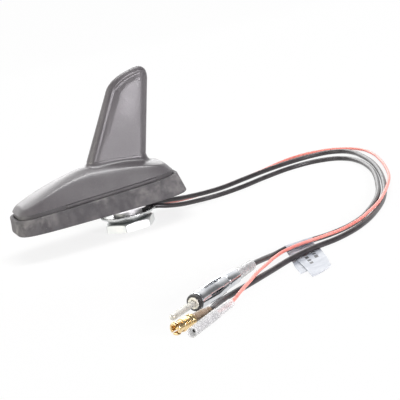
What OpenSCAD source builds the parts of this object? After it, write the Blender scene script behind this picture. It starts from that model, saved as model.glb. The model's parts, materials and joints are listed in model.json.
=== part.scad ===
// Shark fin roof aerial with its roof fixing and three short leads.
// Millimetres. The origin is on the mounting stud's axis in the plane of the roof, +Z is up,
// the nose points towards -X and the leads leave towards +X.

/* [Skirt] */
// Front end of the rubber skirt
skirt_nose = -61.2; // [-70:0.2:-58]
// Rear end of the skirt where it meets the roof
skirt_tail = 31.8; // [30:0.2:40]
// Half width of the skirt where it meets the roof
skirt_half = 20.4; // [19:0.2:26]
// How far the rear of the skirt leans in towards its lip
skirt_rear_lean = 2.6; // [0.5:0.1:5]
// How far the sides of the skirt lean in towards its lip
skirt_side_lean = 1.3; // [0.2:0.1:3]
// Height of the lip at the nose
lip_nose_z = 8.4; // [7:0.1:12]
// Height of the lip at the tail
lip_tail_z = 10.8; // [9:0.1:15]
// Thickness of the rubber wall
skirt_wall = 2; // [1.4:0.1:3]
// Thickness of the rubber floor under the tray
skirt_floor = 2.2; // [1.4:0.1:3]
// Radius of the opening in the rubber floor
skirt_hole_r = 13; // [12.6:0.1:15]

/* [Shell] */
// Wall of the moulded shell
shell_wall = 2.2; // [1.6:0.1:2.8]
// Gap that shows between the shell's edge and the lip
shell_gap = 2.1; // [1:0.1:2.8]
// Highest point of the dome
dome_peak_z = 25; // [23:0.1:28]
// How far the dome's top falls away at its highest point, two thirds of the way to its side
dome_camber = 4.1; // [2:0.1:6]
// The same at the nose and at the tail
end_camber = 1.4; // [0.5:0.1:3]
// Steepness of the dome's side wall, as rise over run
wall_slope = 1.45; // [1:0.05:2]
// Blend between side wall and top
chine_blend = 2.5; // [1:0.1:4]

/* [Fin] */
// Leading edge at the fin's root
fin_lead_x = -15.3; // [-20:0.1:-12]
// Trailing edge at the fin's root
fin_trail_x = 16.8; // [14:0.1:19]
// Rearmost point of the fin's tip
tip_x = 27.2; // [24:0.1:30]
// Height of the fin's tip
tip_z = 69.2; // [64:0.1:76]
// Thickness of the fin at its root
fin_root_t = 10; // [9:0.1:12]
// Thickness of the fin near its tip
fin_tip_t = 6.6; // [6:0.1:8]
// Fillet where the fin grows out of the dome
fin_fillet = 3; // [2:0.1:4]
// Distance from the tip back to where the leading edge starts to round over
shoulder_back = 23.6; // [18:0.1:26]
// Drop from the tip to the start of that rounding
shoulder_drop = 8.9; // [6:0.1:12]
// Width of the raised band along the leading edge
band_w = 3.2; // [2:0.1:5]
// Depth of the flank panels behind that band
panel_recess = 0.4; // [0.2:0.1:0.6]

/* [Roof fixing] */
// Outer diameter of the mounting stud
stud_d = 16; // [14:0.1:16.6]
// Bore through the stud for the leads
stud_bore_d = 10; // [9.4:0.1:11]
// Lowest point of the stud below the roof plane
stud_low = 13; // [12.4:0.1:13.2]
// Width of the slot that the leads leave by
stud_slot_w = 8; // [8:0.1:9]
// Side of the square shoulder that sits in the roof's hole
shoulder_w = 17; // [16:0.1:17.2]
// How far the shoulder reaches below the roof plane
shoulder_low = 3.2; // [2.6:0.1:3.6]
// Outer diameter of the claw washer's rim
washer_rim_d = 29.8; // [27:0.1:32]
// Diameter of the claw washer's floor
washer_floor_d = 24.8; // [22:0.1:26]
// Depth of the rim's teeth below the roof plane
washer_rim_low = 4.6; // [4.2:0.1:4.8]
// Underside of the claw washer below the roof plane
washer_low = 7.2; // [7:0.1:7.4]
// Sheet thickness of the claw washer
washer_t = 1; // [0.8:0.1:1.2]
// Number of teeth on the claw washer
washer_teeth = 36; // [24:1:44]
// Width of the notch in the claw washer for the leads
washer_notch_w = 9; // [8.6:0.1:11]
// Width across the nut's flats
nut_af = 24; // [22:0.1:26]
// Underside of the nut below the roof plane, the level that the aerial stands at
nut_low = 13.3; // [13:0.1:14]
// Thickness of the nut's hexagon
nut_h = 4.9; // [4.4:0.1:5.2]
// Diameter of the collar on top of the nut
nut_collar_d = 18.6; // [17.4:0.1:20]

/* [Circuit] */
// Thickness of the two circuit boards
board_t = 1.2; // [0.8:0.1:1.6]
// Height of the main board's underside
board_z = 7.2; // [6.4:0.1:8]
// Gap between the front end of the main board and the tray's rim
board_nose_gap = 10.8; // [9:0.1:13]
// Gap between the rear end of the main board and the tray's rim
board_tail_gap = 5.2; // [3:0.1:8]
// Gap between the sides of the main board and the tray's rim
board_side_gap = 2.6; // [1.8:0.1:4]
// Length of the shield can
can_len = 24; // [18:0.5:26]
// Height of the shield can
can_h = 4; // [3:0.1:5]
// Gap between the radiator board and the inside of the fin, front and rear
fin_gap = 1.2; // [0.8:0.1:2]
// Margin between the radiator's foil and the edge of its board
foil_margin = 2.4; // [1:0.1:4]
// Diameter of the loading coil's former
former_d = 4; // [3:0.1:5]
// Turns of the loading coil
coil_turns = 6; // [4:1:7]

/* [Leads] */
// Diameter of the two coaxial leads
coax_d = 2.6; // [2.4:0.1:2.7]
// Diameter of the supply wire
wire_d = 1.5; // [1.2:0.1:1.6]
// Outer diameter of the radio plug's slotted sleeve
plug_d = 8; // [7.8:0.1:8.8]
// Length of the slotted sleeve
plug_sleeve_len = 21; // [18:0.5:23]
// Length of the radio plug from its front to the rear of its collar
plug_len = 32; // [30:0.5:34]
// Diameter of the radio plug's pin
plug_pin_d = 2.9; // [2.6:0.1:3.1]
// How far the pin stands out of the plug
plug_pin_len = 19; // [16:0.5:21]
// Length of the clear sleeve behind the radio plug
plug_boot_len = 15; // [13:0.5:16]
// Outer diameter of the gilt connector
gilt_d = 5.8; // [5.4:0.1:6.2]
// Length of the gilt connector's body
gilt_len = 11.5; // [11:0.5:12.5]
// Length of the brown sleeve behind the gilt connector
gilt_boot_len = 10.5; // [10:0.5:12]
// Outer diameter of the clear sleeve on the supply terminal
terminal_d = 4.4; // [4.2:0.1:4.8]
// Length of that clear sleeve
terminal_len = 34; // [32:0.5:36]
// Width of the flag label along the lead
label_w = 14; // [12:0.5:16]
// Thickness of the folded label
label_t = 0.3; // [0.2:0.05:0.4]

/* [Hidden] */

around = 48;          // points round each ring of the lofted pieces
nose_round = 5;         // squareness of the plan outline towards the nose
tail_round = 4.2;       // squareness of the plan outline towards the tail
plan_taper = 0.085;     // how much wider the plan is at the tail than at its middle
seat = 0.05;          // clearance between pieces that are pushed together
stand_z = -nut_low;   // the level that the nut, the leads and the plugs lie on

lip_nose = skirt_nose + 0.4;
lip_tail = skirt_tail - skirt_rear_lean;
lip_half = skirt_half - skirt_side_lean;
shell_nose = lip_nose + 1.8;
shell_tail = lip_tail - 2.4;
shell_half = lip_half - 1.3;
tray_inset = skirt_wall + 0.2;
tray_rim = 1.8;
tray_floor = 2;
tray_wall_in = tray_inset + tray_rim;
flange_from = lip_nose + 27;    // the tray's flange fills the gap over this stretch
flange_to = lip_tail - 14;
flange_proud = 0.7;

board_nose = lip_nose + tray_wall_in + board_nose_gap;
board_tail = lip_tail - tray_wall_in - board_tail_gap;
board_half = lip_half - tray_wall_in - board_side_gap;
board_root = board_z + board_t;

// Shape functions shared by the lofted pieces

function mix(a, b, t) = a + (b - a) * t;
function soft_min(a, b, k) =
    let (h = min(1, max(0, 0.5 + 0.5 * (b - a) / k))) mix(b, a, h) - k * h * (1 - h);

// A point of the plan outline, a superellipse that is wider towards the tail
function outline(nose, tail, half, a) =
    let (n = cos(a) < 0 ? nose_round : tail_round,
         reach = pow(pow(abs(cos(a)), n) + pow(abs(sin(a)), n), -1 / n), u = reach * cos(a))
    [mix(nose, tail, (1 + u) / 2), half * (1 + plan_taper * u) * reach * sin(a)];

function angles() = [for (i = [0 : around - 1]) 360 * i / around];

// Height of the rubber lip, and of the shell's lower edge above it
function lip_z(x) = mix(lip_nose_z, lip_tail_z, (x - lip_nose) / (lip_tail - lip_nose));
function edge_z(x) = lip_z(x) + shell_gap;

// Distance inwards from the shell's plan outline
function inward(x, y, inset) =
    let (half_len = (shell_tail - shell_nose) / 2 - inset,
         u = (x - (shell_nose + shell_tail) / 2) / half_len,
         n = u < 0 ? nose_round : tail_round,
         w = (shell_half - inset) * (1 + plan_taper * u),
         g = max(0.05, pow(pow(abs(u), n) + pow(abs(y / w), n), 1 / n)),
         slope_x = pow(abs(u) / g, n - 1) / half_len,
         slope_y = pow(abs(y / w) / g, n - 1) / w)
    max(0, 1 - g) / sqrt(slope_x * slope_x + slope_y * slope_y);

// Height of the dome's centre line, then of the dome itself
peak_x = -15;
dome_nose_z = 12.8;
nose_curve = 1.55;
rear_fall = 0.00495;
function crest_z(x) = x < peak_x
    ? mix(dome_nose_z, dome_peak_z, 1 - pow(max(0, (peak_x - x) / (peak_x - shell_nose)), nose_curve))
    : dome_peak_z - rear_fall * pow(x - peak_x, 2);
// The top is most rounded by the fin and flatter towards both ends
camber_x = -13;
camber_reach = 19.5;
function camber(x) = mix(end_camber, dome_camber, exp(-pow((x - camber_x) / camber_reach, 2)));
function dome_z(x, y, inset) =
    soft_min(edge_z(x) + wall_slope * inward(x, y, inset),
             crest_z(x) - camber(x) * pow(1.5 * y / shell_half, 2) - inset, chine_blend);

// Side view of the fin: the leading and trailing edges meet at the crown
straight_share = 0.8;
function bend(a, b, c, t) = mix(mix(a, b, t), mix(b, c, t), t);
fin_root_lead = [fin_lead_x, dome_peak_z + 1.8];
fin_root_trail = [fin_trail_x, dome_peak_z - 1.9];
fin_shoulder_lead = [tip_x - shoulder_back, tip_z - shoulder_drop];
fin_shoulder_trail = [tip_x - 0.2, tip_z - 7.5];
fin_crown = [tip_x - 5.2, tip_z];
function lead_edge(h) = h < straight_share
    ? mix(fin_root_lead, fin_shoulder_lead, h / straight_share)
    : bend(fin_shoulder_lead, [tip_x - 19.7, tip_z - 2], fin_crown,
           (h - straight_share) / (1 - straight_share));
function trail_edge(h) = h < straight_share
    ? mix(fin_root_trail, fin_shoulder_trail, h / straight_share)
    : bend(fin_shoulder_trail, [tip_x + 1.1, tip_z - 0.3], fin_crown,
           (h - straight_share) / (1 - straight_share));
function fin_half(h) = h < straight_share
    ? mix(fin_root_t, fin_tip_t, h / straight_share) / 2
    : fin_tip_t / 2 * sqrt(max(0, 1 - pow((h - straight_share) / (1 - straight_share), 2.2)));

// One point of the fin's section: a round leading edge, flat flanks and a rounder tail
nose_len = 6.5;
tail_len = 5;
wall_run = 1.1;         // the sloping wall's run along the fin for each unit of its thickness
function section(chord, s) =
    let (a = min(nose_len, 0.4 * chord), b = min(tail_len, 0.4 * chord),
         lead = max(0, 1 - s / a), trail = max(0, (s - chord + b) / b))
    pow(1 - pow(min(1, lead), 2.2), 1 / 2.2) * pow(1 - pow(min(1, trail), 2.4), 1 / 2.4);
// grow widens it all round and sunk lowers the flank behind the band
function fin_point(lead, trail, half, grow, a, sunk = 0) =
    let (u = (1 + cos(a)) / 2, chord = norm(trail - lead), p = mix(lead, trail, u),
         middle = (lead[0] + trail[0]) / 2,
         flank = min(1, max(0, u * chord - band_w)))
    [middle + (p[0] - middle) * (1 + 2 * grow / chord),
     sign(sin(a)) * ((half + grow - sunk * flank) * section(chord, u * chord)), p[1]];

// Rings of the dome, the fillet and the fin, from the lower edge to the crown
wall_steps = [0, 0.05, 0.12, 0.2, 0.29, 0.38, 0.48, 0.6, 0.74, 0.88, 1];
function foot_point(inset, a) =
    fin_point(fin_root_lead + [inset, 0], fin_root_trail - [inset, 0],
              fin_root_t / 2 - inset, fin_fillet, a);
function root_point(inset, a) =
    fin_point(fin_root_lead + [inset, 0], fin_root_trail - [inset, 0],
              fin_root_t / 2 - inset, 0, a);
function dome_ring(inset, s) = [for (a = angles())
    let (b = outline(shell_nose + inset, shell_tail - inset, shell_half - inset, a),
         f = foot_point(inset, a), x = mix(b[0], f[0], s), y = mix(b[1], f[1], s))
    [x, y, s == 0 ? edge_z(x) : dome_z(x, y, inset)]];
function fillet_ring(inset, q) = [for (a = angles())
    let (f = foot_point(inset, a), r = root_point(inset, a), low = dome_z(f[0], f[1], inset))
    [mix(f[0], r[0], sin(q)), mix(f[1], r[1], sin(q)), mix(low, r[2], 1 - cos(q))]];
function fin_ring(inset, h, sunk = 0) = [for (a = angles())
    fin_point(lead_edge(h) + [inset * wall_run, 0], trail_edge(h) - [inset * wall_run, 0],
              fin_half(h) - inset * 0.8, 0, a, sunk)];

// A closed skin over rings of equal count. With loop the last ring joins the first,
// and without it each end is closed by a fan.
module skin(rings, loop = false) {
    n = len(rings[0]);
    m = len(rings);
    flat_points = [for (r = rings) each r];
    ends = loop ? [] : [for (r = [rings[0], rings[m - 1]]) [for (k = [0 : 2])
        [for (p = r) p[k]] * [for (p = r) 1] / n]];
    sides = [for (j = [0 : m - (loop ? 1 : 2)], i = [0 : n - 1])
        let (a = j * n + i, b = j * n + (i + 1) % n, c = ((j + 1) % m) * n + i,
             d = ((j + 1) % m) * n + (i + 1) % n) each [[a, c, b], [b, c, d]]];
    caps = loop ? [] : [for (i = [0 : n - 1]) each [
        [m * n, i, (i + 1) % n],
        [m * n + 1, (m - 1) * n + (i + 1) % n, (m - 1) * n + i]]];
    polyhedron(concat(flat_points, ends), concat(sides, caps), convexity = 10);
}

// Casing

fin_cavity_crown = [[tip_x - 13, tip_z - 6.2], [tip_x - 4.5, tip_z - 5]];
function fin_inner_cap() = [for (a = angles())
    fin_point(fin_cavity_crown[0], fin_cavity_crown[1], 0.8, 0, a)];

module shell() {
    outer = concat(
        [for (s = wall_steps) dome_ring(0, s)],
        [for (q = [30, 60, 90]) fillet_ring(0, q)],
        [for (h = [0.02, 0.2, 0.4, 0.6, 0.8, 0.87]) fin_ring(0, h, panel_recess)],
        [for (h = [0.89, 0.93, 0.96, 0.985]) fin_ring(0, h)]);
    inner = concat(
        [for (s = [0, 0.12, 0.29, 0.48, 0.74, 1]) dome_ring(shell_wall, s)],
        [for (q = [45, 90]) fillet_ring(shell_wall, q)],
        [for (h = [0.2, 0.5, 0.8]) fin_ring(shell_wall, h)],
        [fin_inner_cap()]);
    color("dimgray")
        skin(concat([for (i = [len(inner) - 1 : -1 : 0]) inner[i]], outer));
}

// A ring of the plan outline at a height that may vary along the part
function plan_ring(nose, tail, half, z) =
    [for (a = angles()) let (p = outline(nose, tail, half, a)) [p[0], p[1], z]];
function lip_ring(inset, drop) = [for (a = angles())
    let (p = outline(lip_nose + inset, lip_tail - inset, lip_half - inset, a))
    [p[0], p[1], lip_z(p[0]) - drop]];
function round_ring(r, z) = [for (a = angles()) [r * cos(a), r * sin(a), z]];

module skirt() {
    foot = 0.7;
    color("darkslategray") skin([
        plan_ring(skirt_nose + foot, skirt_tail - foot, skirt_half - foot, 0),
        plan_ring(skirt_nose, skirt_tail, skirt_half, foot),
        lip_ring(0, 1),
        lip_ring(0.5, 0.1),
        lip_ring(skirt_wall - 0.4, 0.1),
        lip_ring(skirt_wall, 0.6),
        plan_ring(lip_nose + skirt_wall, lip_tail - skirt_wall, lip_half - skirt_wall,
                  skirt_floor),
        round_ring(skirt_hole_r, skirt_floor),
        round_ring(skirt_hole_r, 0)
    ], loop = true);
}

function tray_ring(inset, z) =
    plan_ring(lip_nose + inset, lip_tail - inset, lip_half - inset, z);
// The tray's side wall: a flange fills most of the gap between the lip and the shell
function flange_out(x) = x > flange_from && x < flange_to ? flange_proud : 0.1;
function tray_side_ring(lift, flange) = [for (a = angles())
    let (q = outline(lip_nose + tray_inset, lip_tail - tray_inset, lip_half - tray_inset, a),
         i = tray_inset - (flange ? flange_out(q[0]) : 0),
         p = outline(lip_nose + i, lip_tail - i, lip_half - i, a))
    [p[0], p[1], mix(lip_z(p[0]) + seat, edge_z(p[0]) - seat, lift)]];
function tray_edge_ring(inset) = [for (a = angles())
    let (p = outline(lip_nose + inset, lip_tail - inset, lip_half - inset, a))
    [p[0], p[1], edge_z(p[0]) - seat]];

post_places = [
    [board_nose + 4, 0], [-12, board_half - 2.9], [-12, 2.9 - board_half], [board_tail - 3, 0]
];

module base_tray() {
    top = skirt_floor + tray_floor;
    color("gray") {
        skin([
            tray_ring(tray_inset, skirt_floor),
            tray_side_ring(0, false),
            tray_side_ring(0, true),
            tray_side_ring(1, true),
            tray_edge_ring(tray_wall_in),
            tray_ring(tray_wall_in, top),
            round_ring(stud_bore_d / 2, top),
            round_ring(stud_bore_d / 2, skirt_floor)
        ], loop = true);
        for (p = post_places)
            translate([p[0], p[1], top - 0.4]) cylinder(d = 4, h = board_z - top + 0.4, $fn = 24);
    }
}

module tray_seal() {
    color("black") difference() {
        translate([0, 0, -0.3]) cylinder(r = skirt_hole_r - seat, h = skirt_floor + 0.3, $fn = 64);
        translate([0, 0, -1]) linear_extrude(skirt_floor + 2) shoulder_outline(seat);
    }
}

// Roof fixing

module shoulder_outline(grow) {
    corner = 2;
    w = shoulder_w / 2 + grow - corner;
    hull() for (x = [-w, w], y = [-w, w]) translate([x, y]) circle(corner, $fn = 24);
}

module mounting_stud() {
    slot_depth = stud_low - shoulder_low;
    color("silver") difference() {
        union() {
            translate([0, 0, -shoulder_low])
                linear_extrude(shoulder_low + skirt_floor) shoulder_outline(0);
            translate([0, 0, -stud_low]) cylinder(d = stud_d, h = stud_low, $fn = 64);
        }
        translate([0, 0, -stud_low - 1])
            cylinder(d = stud_bore_d, h = stud_low + skirt_floor + 2, $fn = 48);
        translate([0, -stud_slot_w / 2, -stud_low - 1])
            cube([stud_d, stud_slot_w, slot_depth + 1]);
    }
}

module claw_washer() {
    tooth = 1;
    color("gainsboro") difference() {
        rotate_extrude($fn = 96) polygon([
            [stud_d / 2 + 0.3, -washer_low],
            [washer_floor_d / 2, -washer_low],
            [washer_rim_d / 2, -washer_rim_low - 0.4],
            [washer_rim_d / 2, -washer_rim_low],
            [washer_rim_d / 2 - washer_t, -washer_rim_low],
            [washer_floor_d / 2 - washer_t * 0.7, -washer_low + washer_t],
            [stud_d / 2 + 0.3, -washer_low + washer_t]
        ]);
        for (i = [0 : washer_teeth - 1]) rotate([0, 0, 360 / washer_teeth * (i + 0.5)])
            translate([washer_rim_d / 2 - 3, 0, -washer_rim_low + 0.01])
                rotate([90, 0, 90]) linear_extrude(5)
                    polygon([[-tooth * 0.8, 0], [0, -tooth], [tooth * 0.8, 0], [0, 1]]);
        translate([0, -washer_notch_w / 2, -washer_low - 1])
            cube([washer_rim_d, washer_notch_w, washer_low + 2]);
    }
}

module hex_nut() {
    corner_r = nut_af / 2 / cos(30);
    rise = (corner_r - nut_af / 2 + 0.4) * tan(30);
    color("gainsboro") translate([0, 0, stand_z]) difference() {
        union() {
            intersection() {
                rotate([0, 0, 4]) cylinder(r = corner_r, h = nut_h, $fn = 6);
                rotate_extrude($fn = 96) polygon([
                    [0, 0], [corner_r - 0.5, 0], [corner_r, 0.3],
                    [corner_r, nut_h - rise], [nut_af / 2 - 0.4, nut_h], [0, nut_h]
                ]);
            }
            cylinder(d = nut_collar_d, h = nut_low - washer_low, $fn = 64);
        }
        translate([0, 0, -1]) cylinder(d = stud_d + 2 * seat, h = nut_low, $fn = 64);
    }
}

// The leads leave the stud through this rubber grommet
grommet_in = 4.2;
grommet_out = 10.4;
radio_exit = [grommet_out + 0.5, -1.1, -5.7];
digital_exit = [grommet_out + 0.5, 1.6, -4.7];
supply_exit = [grommet_out + 0.5, 2.95, -6.2];
lead_start = grommet_in - 0.4;
function start_of(exit) = [lead_start, exit[1], exit[2]];

module cable_grommet() {
    clear = 0.1;
    low = washer_low - seat;
    color("black") difference() {
        translate([grommet_in, -stud_slot_w / 2 + clear, -low])
            cube([grommet_out - grommet_in, stud_slot_w - 2 * clear, low - shoulder_low - seat]);
        for (lead = [[radio_exit, coax_d], [digital_exit, coax_d], [supply_exit, wire_d]])
            translate([0, lead[0][1], lead[0][2]]) rotate([0, 90, 0])
                cylinder(d = lead[1] + 2 * seat, h = grommet_out + 1, $fn = 32);
    }
}

// Circuit

module main_board() {
    color("darkgreen") difference() {
        translate([0, 0, board_z]) linear_extrude(board_t)
            polygon([for (a = angles()) outline(board_nose, board_tail, board_half, a)]);
        for (p = post_places) translate([p[0], p[1], board_z - 1]) cylinder(d = 2.4, h = 4, $fn = 24);
    }
}

can_x = board_nose + 8;
module shield_can() {
    sheet = 0.3;
    w = 2 * board_half - 7;
    color("silver") translate([can_x, -w / 2, board_z + board_t]) difference() {
        cube([can_len, w, can_h]);
        translate([sheet, sheet, -sheet]) cube([can_len - 2 * sheet, w - 2 * sheet, can_h]);
    }
}

// Small parts on the main board: place across it as a share of its half width, and size
small_parts = [
    [[-9, 0.48], [5, 4, 1.4]], [[-4, -0.52], [4, 5, 1.2]], [[3, 0.56], [6, 4, 1.6]],
    [[4, -0.6], [3, 3, 2]], [[10, 0.5], [3, 2.4, 1.8]], [[10, -0.5], [3.6, 3, 2.4]]
];
module board_parts() {
    color("dimgray") for (p = small_parts)
        translate([p[0][0], p[0][1] * board_half - p[1][1] / 2, board_root]) cube(p[1]);
}

module board_screws() {
    top = board_z + board_t;
    color("silver") for (p = post_places) translate([p[0], p[1], 0]) {
        translate([0, 0, top]) difference() {
            cylinder(d = 4, h = 1.4, $fn = 24);
            translate([-2.5, -0.3, 0.8]) cube([5, 0.6, 1]);
        }
        translate([0, 0, board_z + seat]) cylinder(d = 2.1, h = board_t - seat, $fn = 24);
    }
}

coil_x = fin_lead_x + 4.9;
coil_pitch = 1.3;
coil_wire = 0.35;

// Outline of the radiator board, which stands on the main board and reaches up into the fin
function in_fin(h) = let (run = shell_wall * wall_run + fin_gap)
    [lead_edge(h) + [run, 0], trail_edge(h) - [run, 0]];
module radiator_outline() {
    front = coil_x + former_d / 2 + 2 * coil_wire + fin_gap;
    low = in_fin(0);
    high = in_fin(0.74);
    polygon([[front, board_root], [low[1][0], board_root], low[1], high[1], high[0],
             [front, low[0][1]]]);
}
module radiator_board() {
    color("seagreen") rotate([90, 0, 0]) translate([0, 0, -board_t / 2])
        linear_extrude(board_t) radiator_outline();
}

module radiator_plate() {
    foil = 0.4;
    bottom = fin_root_lead[1] + foil_margin;
    color("peru") rotate([90, 0, 0]) translate([0, 0, board_t / 2]) linear_extrude(foil)
        intersection() {
            offset(delta = -foil_margin) radiator_outline();
            translate([fin_lead_x, bottom]) square([tip_x - fin_lead_x, tip_z - bottom]);
        }
}

module coil_former() {
    color("ivory") translate([coil_x, 0, board_root])
        cylinder(d = former_d, h = coil_pitch * coil_turns + 2.4, $fn = 32);
}

module loading_coil() {
    steps = 12;
    r = (former_d / 2 + seat) / cos(180 / steps) + coil_wire;
    color("peru") translate([coil_x, 0, board_root + 1.2])
        skin([for (i = [0 : steps * coil_turns])
            let (a = 360 * i / steps, z = coil_pitch * i / steps)
            [for (b = [300 : -60 : 0]) let (d = r + coil_wire * cos(b))
                [d * cos(a), d * sin(a), z + coil_wire * sin(b)]]]);
}

// Leads

// A round tube of eight sides along a route
function tube_ring(route, i, r) =
    let (m = len(route), t = route[min(i + 1, m - 1)] - route[max(i - 1, 0)],
         side = cross([0, 0, 1], t) / norm(cross([0, 0, 1], t)), up = cross(t, side) / norm(t))
    [for (a = [22.5 : 45 : 360]) route[i] + r * (cos(a) * side + sin(a) * up)];
module tube(route, d) {
    skin([for (i = [0 : len(route) - 1]) tube_ring(route, i, d / 2)]);
}

function short_lead(x, y, exit) = [
    [x, y, board_z - seat], [x, y + 0.01, 3], [x + 0.2, y + 0.02, -0.6],
    [mix(x, lead_start, 0.45), mix(y, exit[1], 0.6), exit[2] + 0.7],
    [lead_start - 0.5, exit[1], exit[2]]
];
module inner_leads() {
    color("white") {
        skin([for (i = [0 : 4]) lead_ring(short_lead(-1, 1.5, digital_exit), i, 1)]);
        skin([for (i = [0 : 4]) lead_ring(short_lead(-1.6, -1.3, radio_exit), i, 1)]);
    }
    color("red") skin([for (i = [0 : 4]) lead_ring(short_lead(-1, 3.7, supply_exit), i, 0.6)]);
}
// As tube_ring, for a route that starts straight down
function lead_ring(route, i, r) =
    let (m = len(route), t = route[min(i + 1, m - 1)] - route[max(i - 1, 0)],
         side = cross([0, 1, 0], t) / norm(cross([0, 1, 0], t)), up = cross(t, side) / norm(t))
    [for (a = [22.5 : 45 : 360]) route[i] + r * (cos(a) * side + sin(a) * up)];

// Heights of a lead that lies on the stand level
coax_z = stand_z + coax_d / 2;
wrap_in = coax_d / 2 + seat;
wrap_out = wrap_in + label_t / 2;
label_lift = stand_z + wrap_out;
wire_z = stand_z + wire_d / 2;
plug_bulge = 0.3;
plug_z = stand_z + plug_d / 2 + plug_bulge;
gilt_z = stand_z + gilt_d / 2;
terminal_z = stand_z + terminal_d / 2;

// Where each plug lies: its front end, and the way its tail points
plug_at = [-23.4, -187.1, plug_z];
plug_turn = 39;
gilt_at = [-40.8, -210.9, gilt_z];
gilt_turn = 30;
terminal_at = [-36.4, -219.8, terminal_z];
terminal_turn = 42.8;

function behind(at, turn, s) = at + s * [cos(turn), sin(turn), 0];

radio_route = [
    start_of(radio_exit), radio_exit, [15.5, -1.2, -5.9], [21, -1, -7.4], [31, 3, -9.9], [41, 6.8, -11.4],
    [53, 8.2, coax_z], [67, 10.8, coax_z], [85, 18, coax_z], [103, 22.8, coax_z],
    [116, 21.4, coax_z], [125, 15.2, coax_z], [129.8, 5, coax_z], [130.8, -9, coax_z],
    [129, -24, coax_z], [125.2, -40.4, coax_z], [119.6, -57, coax_z], [114, -71, coax_z],
    [108.4, -84, coax_z], [102.4, -95.4, coax_z], [96.4, -105, coax_z], [88.6, -115.6, coax_z],
    [79.4, -126, coax_z], [67, -134, coax_z], [57, -136.6, coax_z], [50.6, -137.4, label_lift],
    [35.4, -138.9, label_lift], [29, -142.4, coax_z + 0.2], [22.4, -148.6, mix(coax_z, plug_z, 0.5)],
    behind(plug_at, plug_turn, plug_len + plug_boot_len + 1),
    behind(plug_at, plug_turn, plug_len - 1)
];
digital_route = [
    start_of(digital_exit), digital_exit, [15.5, 2, -4.7], [21, 3.8, -5.4], [28, 7.4, -7], [38, 12.8, -9.1],
    [50, 18.4, -10.9], [62, 24, coax_z], [77, 29.6, coax_z], [95, 35.6, coax_z],
    [110, 38, coax_z], [121, 37.6, coax_z], [130, 34.4, coax_z], [136, 26.6, coax_z],
    [138.2, 14, coax_z], [137, 0, coax_z], [134, -18.6, coax_z], [129, -38.2, coax_z],
    [123, -56.4, coax_z], [116.6, -73, coax_z], [109, -90, coax_z], [100.4, -106, coax_z],
    [91, -119.6, coax_z], [81.4, -131, coax_z], [70.4, -140.6, coax_z], [58, -147.2, coax_z],
    [46, -151.4, coax_z + 0.4], [33, -157, coax_z + 0.4], [18, -166, coax_z], [9, -172.2, coax_z],
    [0, -178.2, coax_z], [-7.6, -183.2, coax_z], [-13.6, -188.8, mix(coax_z, gilt_z, 0.3)],
    [-17.8, -194.4, mix(coax_z, gilt_z, 0.7)],
    behind(gilt_at, gilt_turn, gilt_len + gilt_boot_len + 1),
    behind(gilt_at, gilt_turn, gilt_len + 7.5)
];
supply_route = [
    start_of(supply_exit), supply_exit, [15.5, 3.6, -6.35], [21, 6.4, -7.4], [29, 11.6, -9.2], [39, 17.2, -11],
    [51, 23, -12.1], [63, 28.8, wire_z], [77, 34, wire_z], [88, 38.6, wire_z],
    [99, 44, wire_z], [110, 49, wire_z], [121, 50.2, wire_z], [132, 45.6, wire_z],
    [141, 34, wire_z], [145, 18, wire_z], [143.8, 1, wire_z], [138.8, -21, wire_z],
    [132, -43, wire_z], [124.2, -63, -12], [116.4, -79, -11], [109, -93, -10], [103, -103, -9.7],
    [95.4, -114, -9.7], [85.6, -125.2, -9.7], [73.6, -136, -9.9], [64, -140, -10.4],
    [52, -140.6, -10.9], [40, -141.6, -11.1], [32.6, -144.4, -11.2], [26.4, -150, -11],
    [18.6, -160, -10.3], [12, -168.6, -9.6], [5, -178, -9.6], [-3, -187.6, -10],
    behind(terminal_at, terminal_turn, terminal_len + 1),
    behind(terminal_at, terminal_turn, terminal_len - 12)
];

module radio_lead() { color("black") tube(radio_route, coax_d); }
module digital_lead() { color("black") tube(digital_route, coax_d); }
module supply_wire() { color("red") tube(supply_route, wire_d); }

// Lays a plug with its axis along its lead, its front at the given place
module lay(at, turn) {
    translate(at) rotate([0, 0, turn]) children();
}
// Turns a profile of [distance from the front, radius] about the plug's axis
module turned(profile) {
    rotate([90, 0, 90]) rotate_extrude($fn = 48) polygon([for (p = profile) [p[1], p[0]]]);
}

plug_r = plug_d / 2;
sleeve_wall = 0.5;
collar_r = plug_r - sleeve_wall - seat;
bush_r = 2;
boot_r = 2.5;
boot_bore_r = coax_d / 2 + 0.1;
pin_r = plug_pin_d / 2;
shank_r = 1;
ring_proud = 1.6;

module radio_plug_sleeve() {
    slots = 6;
    slot_w = 1.2;
    slot_start = 6.5;
    slot_turn = 21;
    color("silver") lay(plug_at, plug_turn) rotate([slot_turn, 0, 0]) difference() {
        turned([
            [0, plug_r - sleeve_wall], [0, plug_r - 0.2], [0.3, plug_r], [slot_start - 1, plug_r],
            [plug_sleeve_len * 0.66, plug_r + plug_bulge], [plug_sleeve_len, plug_r - 0.1],
            [plug_sleeve_len, plug_r - sleeve_wall],
            [plug_sleeve_len * 0.66, plug_r + plug_bulge - sleeve_wall],
            [slot_start - 1, plug_r - sleeve_wall]
        ]);
        for (i = [0 : slots - 1]) rotate([360 / slots * i, 0, 0])
            translate([slot_start, -slot_w / 2, 0]) cube([plug_sleeve_len, slot_w, plug_d]);
    }
}

module radio_plug_collar() {
    bore_r = boot_r + seat;
    color("silver") lay(plug_at, plug_turn) turned([
        [4.1, bore_r], [4.1, collar_r], [plug_len - 0.4, collar_r], [plug_len, collar_r - 0.4],
        [plug_len, bore_r]
    ]);
}

module radio_plug_insulator() {
    color("black") lay(plug_at, plug_turn) turned([
        [-ring_proud, bush_r + seat], [-ring_proud, plug_r - 0.7], [-ring_proud + 0.4, plug_r - 0.3],
        [-0.02, plug_r - 0.3], [-0.02, collar_r], [4, collar_r], [4, bush_r + seat]
    ]);
}

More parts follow.
